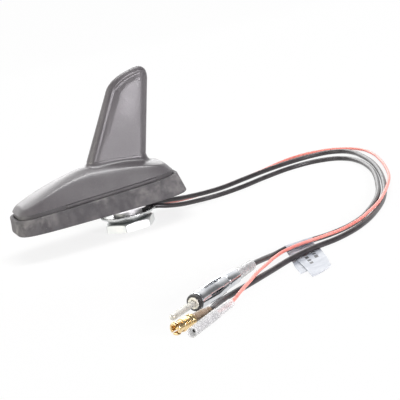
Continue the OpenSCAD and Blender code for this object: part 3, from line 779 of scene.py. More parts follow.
@dataclass(frozen=True)
class SleevePlastic(Finish):
    """See-through sleeve."""

    dark: Colour
    light: Colour
    alpha: float
    rough: Range = (0.12, 0.24)

    def surface(self, nodes: Nodes) -> dict[str, Value]:
        """One noise sets tone, gloss and relief, and the sleeve lets an even share through."""
        cloud = nodes.noise(2.4, 3, 0.6)
        return {
            "Base Color": nodes.blend(nodes.spread(cloud, 0.3, 0.7), self.dark, self.light),
            "Roughness": nodes.spread(cloud, 0.3, 0.7, *self.rough),
            "Normal": nodes.bump(cloud, 0.10, 0.4),
            "Alpha": self.alpha,
            "Specular IOR Level": 0.7,
        }


@dataclass(frozen=True)
class LabelFilm(Finish):
    """Thin label film, or the ink on it."""

    dark: Colour
    light: Colour
    rough: Range = (0.4, 0.55)

    def surface(self, nodes: Nodes) -> dict[str, Value]:
        """One slow noise sets tone, gloss and relief."""
        cloud = nodes.noise(6, 3, 0.5)
        return {
            "Base Color": nodes.blend(nodes.spread(cloud, 0.3, 0.7), self.dark, self.light),
            "Roughness": nodes.spread(cloud, 0.3, 0.7, *self.rough),
            "Normal": nodes.bump(cloud, 0.12, 0.3),
        }


FINISHES: dict[Slot, Finish] = {
    Slot.SHELL: ShellPlastic("shell_plastic"),
    Slot.SKIRT: SkirtRubber("skirt_rubber"),
    Slot.TRAY: TrayPlastic("tray_plastic"),
    Slot.SEAL: PlainPlastic("seal_rubber", rgb(0.012, 0.012, 0.012), rgb(0.022, 0.022, 0.022), (0.6, 0.75)),
    Slot.ZINC: Plated("zinc", rgb(0.74, 0.76, 0.755), rgb(0.84, 0.845, 0.83), (0.30, 0.40), 1.2),
    Slot.BOARD: PlainPlastic("circuit_board", rgb(0.02, 0.11, 0.045), rgb(0.03, 0.15, 0.06), (0.25, 0.35), 3),
    Slot.TIN: Plated("tinned_steel", rgb(0.62, 0.63, 0.64), rgb(0.72, 0.72, 0.72), (0.3, 0.42), 0.6),
    Slot.BLACK: PlainPlastic(
        "black_plastic", rgb(0.03, 0.03, 0.031), rgb(0.05, 0.05, 0.052), (0.38, 0.5), 0.8
    ),
    Slot.COPPER: Plated("copper", rgb(0.70, 0.34, 0.18), rgb(0.80, 0.44, 0.26), (0.25, 0.4), 0.6),
    Slot.IVORY: PlainPlastic("ivory_plastic", rgb(0.74, 0.71, 0.62), rgb(0.82, 0.80, 0.72), (0.35, 0.45), 1),
    Slot.SHEATH: PlainPlastic(
        "lead_sheath", rgb(0.030, 0.026, 0.028), rgb(0.048, 0.042, 0.045), (0.30, 0.36), 5, 0.01
    ),
    Slot.NICKEL: Plated("nickel_plate", rgb(0.62, 0.64, 0.67), rgb(0.72, 0.73, 0.75), (0.12, 0.2), 0.4),
    Slot.CLEAR: SleevePlastic("clear_sleeve", rgb(0.58, 0.58, 0.58), rgb(0.76, 0.76, 0.76), 0.5),
    Slot.GILT: Plated("gilt", rgb(0.80, 0.58, 0.28), rgb(0.90, 0.70, 0.40), (0.14, 0.24), 0.4),
    Slot.BROWN: SleevePlastic("brown_sleeve", rgb(0.30, 0.21, 0.14), rgb(0.42, 0.32, 0.23), 0.72),
    Slot.WIRE: PlainPlastic(
        "wire_insulation", rgb(0.84, 0.24, 0.20), rgb(0.90, 0.30, 0.25), (0.32, 0.42), 5, 0.01
    ),
    # The film's grey-blue is painted shade: the label is near white, grey only in the shade near the lead.
    Slot.LABEL: LabelFilm("label_film", rgb(0.30, 0.32, 0.37), rgb(0.50, 0.52, 0.56)),
}
STUD_THREAD = ThreadedZinc("threaded_zinc")
NUT_ZINC = PaintedShadeZinc("zinc_painted_shade", rgb(0.74, 0.76, 0.755), rgb(0.84, 0.845, 0.83), (0.32, 0.42), 1.2)
# A dark copy of the nickel: painted shade for the collar's faces under the sleeve.
SHADED_NICKEL = Plated("nickel_painted_shade", rgb(0.06, 0.06, 0.065), rgb(0.10, 0.10, 0.11), (0.3, 0.4), 0.4)
PIN_PLATE = Plated("pin_plate", rgb(0.58, 0.57, 0.52), rgb(0.70, 0.69, 0.64), (0.34, 0.42), 0.4, 0.4)
LABEL_INK = LabelFilm("label_ink", rgb(0.025, 0.025, 0.03), rgb(0.06, 0.06, 0.07))


class Dresser:
    """Gives pieces their finishes and puts them in place of their CAD nodes."""

    def __init__(self) -> None:
        """Starts without any material made."""
        self.made: dict[str, bpy.types.Material] = {}

    def material(self, finish: Finish) -> bpy.types.Material:
        """The material of a finish, made when it is first asked for."""
        if finish.name not in self.made:
            self.made[finish.name] = finish.make()
        return self.made[finish.name]

    def place(self, piece: Piece, slot: Slot, node: str, *finishes: Finish) -> Piece:
        """Dresses a new piece and rides it on the part's body, in place of a CAD node.

        Args:
            piece: The piece.
            slot: Its material slot in the record.
            node: The CAD node that it replaces.
            *finishes: Its finishes, where they aren't the slot's own.

        Returns:
            The piece.
        """
        piece.data.materials.clear()
        for finish in finishes or (FINISHES[slot],):
            piece.data.materials.append(self.material(finish))
        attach(piece, ROOT)
        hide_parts(node)
        log.info("%s: %d faces for %s", piece.name, len(piece.data.polygons), node)
        return piece

    def dress_frame(self, frame: dict) -> None:
        """Gives each CAD node its slot's finish, and the stud its thread.

        Args:
            frame: The loaded frame, with its nodes and its record.
        """
        slots = {row["node"]: Slot(row["material_slot"]) for row in frame["record"]["subparts"]}
        for name, node in frame["nodes"].items():
            finish = STUD_THREAD if name == "mounting_stud" else FINISHES[slots[name]]
            for holder in node.material_slots:
                holder.material = self.material(finish)


# Casing


@dataclass(frozen=True)
class AerialForm:
    """Sizes of the casing and the functions of its form, which the CAD source has too."""

    skirt_nose: float = -61.2
    skirt_tail: float = 31.8
    skirt_half: float = 20.4
    rear_lean: float = 2.6
    side_lean: float = 1.3
    nose_lean: float = 0.4
    lip_nose_z: float = 8.4
    lip_tail_z: float = 10.8
    skirt_wall: float = 2.0
    skirt_floor: float = 2.2
    skirt_hole_r: float = 13.0
    shell_wall: float = 2.2
    shell_gap: float = 2.1
    peak_x: float = -15.0
    dome_nose_z: float = 12.8
    dome_peak_z: float = 25.0
    dome_camber: float = 4.1
    end_camber: float = 1.4
    camber_x: float = -13.0
    camber_reach: float = 19.5
    nose_curve: float = 1.55
    rear_fall: float = 0.00495
    wall_slope: float = 1.45
    chine_blend: float = 1.5
    nose_round: float = 5.0
    tail_round: float = 4.2
    plan_taper: float = 0.085
    fin_lead_x: float = -15.3
    fin_trail_x: float = 16.8
    fin_lead_rise: float = 1.8
    fin_trail_rise: float = -1.9
    tip_x: float = 27.2
    tip_z: float = 69.2
    crown_back: float = 5.2
    shoulder_back: float = 23.6
    shoulder_drop: float = 8.9
    lead_corner_back: float = 19.7
    lead_corner_drop: float = 2.0
    trail_back: float = 0.2
    trail_drop: float = 7.5
    trail_corner_out: float = 1.1
    trail_corner_drop: float = 0.3
    fin_root_t: float = 10.0
    fin_tip_t: float = 6.6
    fin_fillet: float = 3.0
    band_w: float = 3.2
    panel_recess: float = 0.4
    straight_share: float = 0.8
    nose_len: float = 6.5
    tail_len: float = 5.0
    tray_gap: float = 0.2

    @property
    def foot(self) -> Outline:
        """Nose, tail and half width of the skirt's foot."""
        return self.skirt_nose, self.skirt_tail, self.skirt_half

    @property
    def lip(self) -> Outline:
        """Nose, tail and half width of the rubber lip."""
        nose, tail, half = self.foot
        return nose + self.nose_lean, tail - self.rear_lean, half - self.side_lean

    @property
    def edge(self) -> Outline:
        """Nose, tail and half width of the shell's lower edge."""
        nose, tail, half = self.lip
        return nose + 1.8, tail - 2.4, half - 1.3

    def outline(self, box: Outline, inset: Number, angle: Array) -> tuple[Array, Array]:
        """Plan outline, a superellipse that is wider towards the tail.

        At an angle it reaches the sum of the cosine's and the sine's n-th powers to the power of -1/n,
        where n differs between nose and tail. The half width grows evenly along the part.

        Args:
            box: Nose, tail and half width.
            inset: How far inside of them the outline lies.
            angle: Angles round the plan.

        Returns:
            Places along and across the part.
        """
        nose, tail, half = box[0] + inset, box[1] - inset, box[2] - inset
        c, s = np.cos(angle), np.sin(angle)
        n = np.where(c < 0, self.nose_round, self.tail_round)
        reach = (np.abs(c) ** n + np.abs(s) ** n) ** (-1.0 / n)
        u = reach * c
        return mix(nose, tail, (1 + u) / 2), half * (1 + self.plan_taper * u) * reach * s

    def lip_z(self, x: Number) -> Number:
        """Height of the rubber lip, a straight line from nose to tail."""
        nose, tail, _ = self.lip
        return mix(self.lip_nose_z, self.lip_tail_z, (x - nose) / (tail - nose))

    def edge_z(self, x: Number) -> Number:
        """Height of the shell's lower edge, which is even with the lip."""
        return self.lip_z(x) + self.shell_gap

    def crest_z(self, x: Array) -> Array:
        """Height of the dome's centre line.

        In front of its peak it falls with a power of the distance, and behind it with the square.

        Args:
            x: Places along the part.

        Returns:
            The heights.
        """
        front = np.maximum(0, (self.peak_x - x) / (self.peak_x - self.edge[0])) ** self.nose_curve
        rear = self.dome_peak_z - self.rear_fall * (x - self.peak_x) ** 2
        return np.where(x < self.peak_x, mix(self.dome_nose_z, self.dome_peak_z, 1 - front), rear)

    def inward(self, x: Array, y: Array, inset: float = 0.0) -> Array:
        """Distance inwards from the shell's plan outline.

        It is one less the superellipse's own radius, over the steepness of that radius.

        Args:
            x: Places along the part.
            y: Places across it.
            inset: How far inside of the outline it is measured from.

        Returns:
            The distances, 0 outside.
        """
        nose, tail, half = self.edge
        half_len = (tail - nose) / 2 - inset
        u = (x - (nose + tail) / 2) / half_len
        n = np.where(u < 0, self.nose_round, self.tail_round)
        w = (half - inset) * (1 + self.plan_taper * u)
        g = np.maximum(0.05, (np.abs(u) ** n + np.abs(y / w) ** n) ** (1 / n))
        slope_x = (np.abs(u) / g) ** (n - 1) / half_len
        slope_y = (np.abs(y / w) / g) ** (n - 1) / w
        return np.maximum(0, 1 - g) / np.sqrt(slope_x**2 + slope_y**2)

    def dome_z(self, x: Array, y: Array, inset: float = 0.0) -> Array:
        """Height of the dome's outer face, or of its inner face where it is inset.

        It is the lower of the wall, which rises evenly inwards, and of the top, which falls from the
        crest with the square of the distance to the side, most by the fin. The chine rounds them.

        Args:
            x: Places along the part.
            y: Places across it.
            inset: Depth of the face under the outer one.

        Returns:
            The heights.
        """
        wall = self.edge_z(x) + self.wall_slope * self.inward(x, y, inset)
        by_fin = np.exp(-(((x - self.camber_x) / self.camber_reach) ** 2))
        fall = mix(self.end_camber, self.dome_camber, by_fin) * (1.5 * y / self.edge[2]) ** 2
        return soft_min(wall, self.crest_z(x) - fall - inset, self.chine_blend)

    def side_point(self, back: float, drop: float) -> Array:
        """Point of the fin's side view, behind and below its foremost tip."""
        return np.array([self.tip_x - back, self.tip_z - drop])

    @property
    def root_lead(self) -> Array:
        """Front end of the fin's root."""
        return np.array([self.fin_lead_x, self.dome_peak_z + self.fin_lead_rise])

    @property
    def root_trail(self) -> Array:
        """Rear end of the fin's root."""
        return np.array([self.fin_trail_x, self.dome_peak_z + self.fin_trail_rise])

    def swept(self, h: Number, root: Array, shoulder: Array, corner: Array) -> Array:
        """Edge of the fin's side view.

        It runs straight from root to shoulder, then in a curve with its corner point to the crown.

        Args:
            h: Shares of the way from the root at 0 to the crown at 1.
            root: Where the edge starts.
            shoulder: Where it begins to curve.
            corner: Corner point of the curve.

        Returns:
            Points of (along, height).
        """
        share = np.asarray(h, float)[..., None]
        top = np.clip((share - self.straight_share) / (1 - self.straight_share), 0, 1)
        curved = bend(shoulder, corner, self.side_point(self.crown_back, 0), top)
        return np.where(share < self.straight_share, mix(root, shoulder, share / self.straight_share), curved)

    def lead_edge(self, h: Number) -> Array:
        """Leading edge of the fin, from its root at 0 to its crown at 1."""
        shoulder = self.side_point(self.shoulder_back, self.shoulder_drop)
        corner = self.side_point(self.lead_corner_back, self.lead_corner_drop)
        return self.swept(h, self.root_lead, shoulder, corner)

    def trail_edge(self, h: Number) -> Array:
        """Trailing edge of the fin, from its root at 0 to its crown at 1."""
        shoulder = self.side_point(self.trail_back, self.trail_drop)
        corner = self.side_point(-self.trail_corner_out, self.trail_corner_drop)
        return self.swept(h, self.root_trail, shoulder, corner)

    def fin_half(self, h: Number) -> Array:
        """Half the fin's thickness.

        It tapers evenly up to the shoulder, then closes like a rounded end.

        Args:
            h: Shares of the way from root to crown.

        Returns:
            The half thicknesses.
        """
        share = np.asarray(h, float)
        top = np.clip((share - self.straight_share) / (1 - self.straight_share), 0, 1)
        taper = mix(self.fin_root_t, self.fin_tip_t, share / self.straight_share) / 2
        return np.where(share < self.straight_share, taper, self.fin_tip_t / 2 * np.sqrt(1 - top**2.2))

    def section(self, chord: Array, s: Array) -> Array:
        """Thickness of the fin's section as a share of the full one.

        Both ends are rounded like superellipses over their own lengths.

        Args:
            chord: Length of the section.
            s: Distances from its leading edge.

        Returns:
            The shares.
        """
        lead = np.clip(1 - s / np.minimum(self.nose_len, 0.4 * chord), 0, 1)
        tail_len = np.minimum(self.tail_len, 0.4 * chord)
        trail = np.clip((s - chord + tail_len) / tail_len, 0, 1)
        return (1 - lead**2.2) ** (1 / 2.2) * (1 - trail**2.4) ** (1 / 2.4)


@dataclass(frozen=True)
class Casing(AerialForm):
    """The shell, the skirt and the tray, whose flange shows between them."""

    around: int = 320
    belly: float = 0.65
    crease: float = 1.5
    groove_depth: float = 0.4
    groove_insets: tuple[Range, Range] = ((7.4, 6.0), (4.2, 2.8))
    foot_round: float = 0.7
    lip_round: float = 0.6
    flange_start: float = 27.0
    flange_end: float = 14.0
    flange_out: float = 0.72
    nub_out: float = 0.45
    lead_hole_r: float = 5.0
    post_r: float = 2.0

    @property
    def angles(self) -> Array:
        """Angles of the points of each ring."""
        return even_angles(self.around)

    def level(self, box: Outline, inset: float, height: Height) -> Array:
        """Ring of a plan outline.

        Args:
            box: Nose, tail and half width of the outline.
            inset: How far inside of it the ring lies.
            height: Its height, or a function that gives it at each place along the part.

        Returns:
            The ring's points.
        """
        x, y = self.outline(box, inset, self.angles)
        return np.stack([x, y, height(x) if callable(height) else np.full_like(x, height)], 1)

    def round_hole(self, radius: float, height: float) -> Array:
        """Ring of a round hole on the stud's axis."""
        x, y = radius * np.cos(self.angles), radius * np.sin(self.angles)
        return np.stack([x, y, np.full_like(x, height)], 1)

    def fin_rings(self, lead: Array, trail: Array, half: Number, grow: float = 0.0) -> Array:
        """Rings round the fin's section.

        Each point lies at the share (1 + cosine) / 2 of the chord, and at the section's thickness to
        its side.

        Args:
            lead: Leading point of each ring in the side view.
            trail: Trailing point of each ring.
            half: Half thickness of each ring.
            grow: How much larger the rings are all round.

        Returns:
            The rings' points.
        """
        u = (1 + np.cos(self.angles)) / 2
        chord = np.linalg.norm(trail - lead, axis=-1)[..., None]
        line = lead[..., None, :] + (trail - lead)[..., None, :] * u[:, None]
        middle = (lead[..., :1] + trail[..., :1]) / 2
        x = middle + (line[..., 0] - middle) * (1 + 2 * grow / chord)
        full = np.asarray(half, float)[..., None] + grow
        y = np.sign(np.sin(self.angles)) * full * self.section(chord, u * chord)
        return np.stack([x, y, line[..., 1]], -1)

    def rim_distance(self, ring: Array) -> Array:
        """Distance of a ring's points to the leading edge and the crown, seen from the side.

        Args:
            ring: The ring's points.

        Returns:
            For each point, the least of its distances to the short straight parts of that edge.
        """
        crown = self.side_point(self.crown_back, 0)
        rim = np.vstack([self.lead_edge(np.linspace(0, 1, 120)), crown + [12, -0.4]])
        start, step = rim[:-1], np.diff(rim, axis=0)
        place = ring[:, None, [0, 2]] - start
        t = np.clip((place * step).sum(-1) / np.maximum((step * step).sum(-1), 1e-9), 0, 1)
        return np.linalg.norm(place - t[..., None] * step, axis=-1).min(1)

    def sink_flanks(self, ring: Array) -> Array:
        """Lowers the fin's flanks behind the band along its leading edge, and swells their middle.

        The recess starts smoothly at the band's width. The swelling falls with the square of the place
        across the flank in front, with its cube behind, and fades to the root.

        Args:
            ring: A ring of the fin's outer face.

        Returns:
            The ring with its flanks in place.
        """
        to_rim = self.rim_distance(ring)
        low, high = ring[:, 0].min() + self.band_w, ring[:, 0].max() - self.crease
        across = (ring[:, 0] - (low + high) / 2) / max(1.0, (high - low) / 2)
        swell = np.maximum(0, 1 - np.abs(across) ** np.where(across < 0, 2.0, 3.0))
        rise = smooth(ring[:, 2], self.dome_peak_z - 2.0, self.dome_peak_z + 24.0)
        depth = self.panel_recess * smooth(to_rim, self.band_w - 1.0, self.band_w + 0.7)
        depth -= self.belly * swell * rise * smooth(to_rim, self.band_w, self.band_w + 4)
        share = np.minimum(1.0, np.abs(ring[:, 1]) / self.crease)
        return np.stack([ring[:, 0], ring[:, 1] - np.sign(ring[:, 1]) * depth * share, ring[:, 2]], 1)

    def fin_face(self, h: Array, inset: float) -> Array:
        """Rings of the fin's outer face, or of its inner face.

        Args:
            h: Shares of the way from root to crown.
            inset: Depth of the inner face under the outer one.

        Returns:
            The rings' points.
        """
        run = np.array([1.1 * inset, 0])
        half = self.fin_half(h) - 0.8 * inset
        return self.fin_rings(self.lead_edge(h) + run, self.trail_edge(h) - run, half)

    def dome_rings(self, inset: float, shares: Sequence[float], turns: Sequence[float]) -> list[Array]:
        """Rings from the lower edge up the dome and its fillet, to the root of the fin.

        The dome's rings blend straight from the edge's plan to the fillet's foot, at the dome's height.
        The fillet's rings go in by the sine and up by one less the cosine of their turn.

        Args:
            inset: Depth of the face under the outer one.
            shares: Places of the dome's rings, from 0 at the edge to 1 at the fillet's foot.
            turns: Degrees of the fillet's rings, up to 90 at the root.

        Returns:
            The rings.
        """
        shift, half = np.array([inset, 0]), self.fin_root_t / 2 - inset
        lead, trail = self.root_lead + shift, self.root_trail - shift
        foot, root = self.fin_rings(lead, trail, half, self.fin_fillet), self.fin_rings(lead, trail, half)
        foot[:, 2] = self.dome_z(foot[:, 0], foot[:, 1], inset)
        edge = self.level(self.edge, inset, self.edge_z)
        share, q = np.array(shares)[:, None, None], np.radians(turns)[:, None, None]
        dome, fillet = mix(edge, foot, share), mix(foot, root, np.sin(q))
        height = self.dome_z(dome[..., 0], dome[..., 1], inset)
        dome[..., 2] = np.where(share[..., 0] > 0, height, dome[..., 2])
        fillet[..., 2] = mix(foot[:, 2], root[:, 2], 1 - np.cos(q[..., 0]))
        return [*dome, *fillet]

    def shell(self) -> Piece:
        """The moulded shell in one hollow skin: inner face, lower edge, dome, fillet and fin."""
        cap = self.fin_rings(self.side_point(13, 6.2), self.side_point(4.5, 5), 0.8)
        inner = self.dome_rings(self.shell_wall, [0, 0.12, 0.29, 0.48, 0.74, 1], [45, 90])
        inner += [*self.fin_face(np.array([0.2, 0.5, 0.8]), self.shell_wall), cap]
        inner[0][:, 2] += 0.15
        shares = np.concatenate([[0.012, 0.03], np.linspace(0.06, 1, 56)])
        heights = np.concatenate([[0.004, 0.012], np.linspace(0.024, 0.8, 44), np.linspace(0.806, 0.997, 40)])
        rings = [
            *inner[::-1],
            self.level(self.edge, self.shell_wall - 0.15, self.edge_z),
            self.level(self.edge, 0.22, self.edge_z),
            self.level(self.edge, 0.06, lambda x: self.edge_z(x) + 0.06),
            *self.dome_rings(0, shares, np.linspace(8, 90, 12)),
            *(self.sink_flanks(ring) for ring in self.fin_face(heights, 0)),
        ]
        return loft("shell_looks", rings, sharp_deg=50)

    def skirt_side(self, t: float) -> Array:
        """Ring of the skirt's outer wall, with a slight waviness.

        Args:
            t: Place from the foot at 0 to the lip at 1, between which the wall is straight.

        Returns:
            The ring's points.
        """
        box = [mix(a, b, t) for a, b in zip(self.foot, self.lip)]
        ring = self.level(box, 0, lambda x: mix(self.foot_round, self.lip_z(x) - 0.7, t))
        wave = 0.07 * ripple(ring[:, 0], ring[:, 1], ring[:, 2], 0.4)
        ring[:, :2] *= 1 + (wave / np.linalg.norm(ring[:, :2], axis=1))[:, None]
        return ring

    def skirt_foot(self) -> list[Array]:
        """Rings of the skirt's flat foot, with its two sealing grooves."""
        rings = [self.round_hole(self.skirt_hole_r, 0)]
        for inner, outer in self.groove_insets:
            depth = self.groove_depth
            steps = ((inner, 0), (inner - 0.2, depth), (outer + 0.2, depth), (outer, 0))
            rings += [self.level(self.foot, inset, z) for inset, z in steps]
        return rings

    def skirt(self) -> Piece:
        """The rubber skirt: a foot, a rounding, a leaning wall, a rounded lip and the hollow inside."""
        quarter = np.radians(np.linspace(0, 90, 6))
        foot = [
            self.level(self.foot, self.foot_round * (1 - math.sin(q)), self.foot_round * (1 - math.cos(q)))
            for q in quarter
        ]
        lip = [
            self.level(
                self.lip,
                self.lip_round * (1 - math.cos(q)),
                lambda x, q=q: self.lip_z(x) - 0.7 + self.lip_round * math.sin(q),
            )
            for q in np.radians(np.linspace(15, 90, 6))
        ]
        wall = self.skirt_wall
        inside = [
            self.level(self.lip, wall - 0.5, lambda x: self.lip_z(x) - 0.1),
            self.level(self.lip, wall - 0.1, lambda x: self.lip_z(x) - 0.35),
            self.level(self.lip, wall, lambda x: self.lip_z(x) - 1.0),
            self.level(self.lip, wall, self.skirt_floor),
            self.round_hole(self.skirt_hole_r, self.skirt_floor),
        ]
        side = [self.skirt_side(t) for t in np.linspace(0.04, 1, 18)]
        return loft("skirt_looks", [*self.skirt_foot(), *foot, *side, *lip, *inside], loop=True, sharp_deg=50)

    def tray_side(self, lift: float, share: float) -> Array:
        """Ring of the tray's wall, which stands out as a flange along its middle.

        The flange starts and ends in a smooth step, and a small nub marks its start.

        Args:
            lift: Height above the lip.
            share: Share of the flange's full reach.

        Returns:
            The ring's points.
        """
        inset = self.skirt_wall + self.tray_gap
        x, _ = self.outline(self.lip, inset, self.angles)
        start, end = self.lip[0] + self.flange_start, self.lip[1] - self.flange_end
        flange = smooth(x, start - 0.3, start + 0.3) * (1 - smooth(x, end - 0.3, end + 0.3))
        nub = np.exp(-(((x - start) / 0.6) ** 2))
        out = share * (self.flange_out * flange + self.nub_out * nub)
        x, y = self.outline(self.lip, inset - out, self.angles)
        return np.stack([x, y, self.lip_z(x) + lift], 1)

    def tray(self) -> Piece:
        """The tray, whose flange fills most of the gap between lip and shell, with its four posts."""
        inset, top, floor = self.skirt_wall + self.tray_gap, self.shell_gap, self.skirt_floor
        sides = (
            (0.2, 0), (0.2, 0.8), (0.35, 1), (top - 0.4, 1), (top - 0.22, 0.8), (top - 0.22, 0),
            (top - 0.05, -0.4),
        )
        rings = [
            self.level(self.lip, inset, floor),
            *(self.tray_side(lift, share) for lift, share in sides),
            self.level(self.lip, inset + 1.8, lambda x: self.edge_z(x) - 0.05),
            self.level(self.lip, inset + 1.8, floor + 2),
            self.round_hole(self.lead_hole_r, floor + 2),
            self.round_hole(self.lead_hole_r, floor),
        ]
        tray = loft("base_tray_looks", rings, loop=True, sharp_deg=50)
        return join("base_tray_looks", [tray, *self.posts()])

    def posts(self) -> list[Piece]:
        """Four posts that carry the main board, each with a small rounding at its foot."""
        nose, tail, half = self.lip
        rim = self.skirt_wall + 2.0
        front, rear, side = nose + rim + 10.8 + 4, tail - rim - 5.2 - 3, half - rim - 2.6 - 2.9
        angles = even_angles(32)
        steps = ((0.5, 3.8), (0.2, 4.35), (0.0, 4.8), (0.0, 7.1), (-0.1, 7.2))
        radius, z = np.array([(self.post_r + extra, height) for extra, height in steps]).T[..., None]
        ring = np.stack(np.broadcast_arrays(radius * np.cos(angles), radius * np.sin(angles), z), -1)
        return [loft("post", ring + [x, y, 0]) for x, y in ((front, 0), (-12, side), (-12, -side), (rear, 0))]

    def place(self, dresser: Dresser) -> None:
        """Builds and dresses the casing's pieces."""
        dresser.place(self.shell(), Slot.SHELL, "shell")
        dresser.place(self.skirt(), Slot.SKIRT, "skirt")
        dresser.place(self.tray(), Slot.TRAY, "base_tray")


# Roof fixing


@dataclass(frozen=True)
class Fixing:
    """The claw washer and the nut below the roof."""

    stud_d: float = 16.0
    rim_d: float = 29.8
    floor_d: float = 24.8
    rim_low: float = 4.6
    low: float = 7.2
    sheet: float = 1.0
    teeth: int = 36
    tooth: float = 1.0
    notch_w: float = 9.0
    nut_af: float = 24.0
    nut_low: float = 13.3
    nut_h: float = 4.9
    collar_d: float = 18.6
    nut_turn: float = 4.0
    chamfer_deg: float = 30.0

    def washer(self) -> Piece:
        """Dished washer with a toothed rim and a notch for the leads.

        Its rounded profile is carried round the axis from one side of the notch to the other. The top
        of the rim is lowered by a smooth step of the place between two teeth.

        Returns:
            The washer.
        """
        bore, rim, floor = self.stud_d / 2 + 0.3, self.rim_d / 2, self.floor_d / 2
        corners = [
            (bore, -self.low), (floor, -self.low), (rim, -self.rim_low - 0.4), (rim, -self.rim_low),
            (rim - self.sheet, -self.rim_low), (floor - 0.7 * self.sheet, -self.low + self.sheet),
            (bore, -self.low + self.sheet),
        ]
        start = mix(np.array(corners[0]), np.array(corners[-1]), 0.5)
        profile = rounded([start, *corners, start], [0, 0.2, 1.4, 0.15, 0.12, 0.12, 0.9, 0.2, 0])[:-1]
        radius, z = profile[:, 0], profile[:, 1]
        gap = np.arcsin(np.clip(self.notch_w / 2 / radius, 0, 1))
        angle = gap + np.linspace(0, 1, self.teeth * 14)[:, None] * (TURN - 2 * gap)
        beat = np.abs((angle / TURN * self.teeth) % 1 - 0.5) * 2
        crest = smooth(z, -self.rim_low - 0.25, -self.rim_low - 0.05) * (radius > rim - 2)
        height = z - crest * self.tooth * smooth(0.75 - beat, 0, 0.7)
        rings = np.stack([radius * np.cos(angle), radius * np.sin(angle), height], -1)
        return loft("claw_washer_looks", rings, sharp_deg=45)

    def nut(self) -> Piece:
        """Hexagon nut with chamfers, a collar on top and a plain bore.

        Each ring is the lower of the hexagon's reach and of a cone's, softly rounded where they meet.

        Returns:
            The nut.
        """
        angles = even_angles(360)
        flat, rake = self.nut_af / 2, math.tan(math.radians(self.chamfer_deg))
        corner = flat / math.cos(math.pi / 6)
        turned = (angles - math.radians(self.nut_turn)) % (math.pi / 3) - math.pi / 6
        hexagon = soft_min(flat / np.cos(turned), np.full_like(turned, corner - 0.12), 0.25)
        rise = (corner - flat + 0.4) * rake
        bore, collar, height = self.stud_d / 2 + 0.05, self.collar_d / 2, self.nut_low - self.low
        foot_z = np.linspace(1.2, self.nut_h - rise - 0.3, 5)
        foot_z = np.concatenate([[0.02, 0.08, 0.16, 0.28, 0.45, 0.7], foot_z])
        top_z = np.linspace(self.nut_h - rise - 0.2, self.nut_h - 0.01, 16)
        foot, top = flat - 0.5 + 4.5 * np.sqrt(foot_z / 0.9), corner - (top_z - self.nut_h + rise) / rake
        steps = [
            (bore, 0.7), (bore + 0.6, 0.05), (bore + 0.75, 0), (flat - 1.2, 0),
            *zip(soft_min(hexagon, foot[:, None], 0.35), foot_z),
            *zip(soft_min(hexagon, top[:, None], 0.3), top_z),
            (flat - 0.9, self.nut_h), (collar + 0.2, self.nut_h), (collar, self.nut_h + 0.2),
            (collar, height - 0.2), (collar - 0.2, height), (bore, height),
        ]
        radius = np.array([np.broadcast_to(r, angles.shape) for r, _ in steps])
        z = np.array([z - self.nut_low for _, z in steps])[:, None] + 0 * radius
        rings = np.stack([radius * np.cos(angles), radius * np.sin(angles), z], -1)
        return loft("hex_nut_looks", rings, loop=True, sharp_deg=35)

    def place(self, dresser: Dresser) -> None:
        """Builds and dresses the washer and the nut."""
        dresser.place(self.washer(), Slot.ZINC, "claw_washer")
        # The nut's finish paints shade on its top, in the gap under the washer.
        dresser.place(self.nut(), Slot.ZINC, "hex_nut", NUT_ZINC)


# Plugs


@dataclass(frozen=True)
class LeadSizes:
    """Sizes that the leads share with what is on them."""

    stand_z: float = -13.3
    coax_d: float = 2.6
    wire_d: float = 1.5


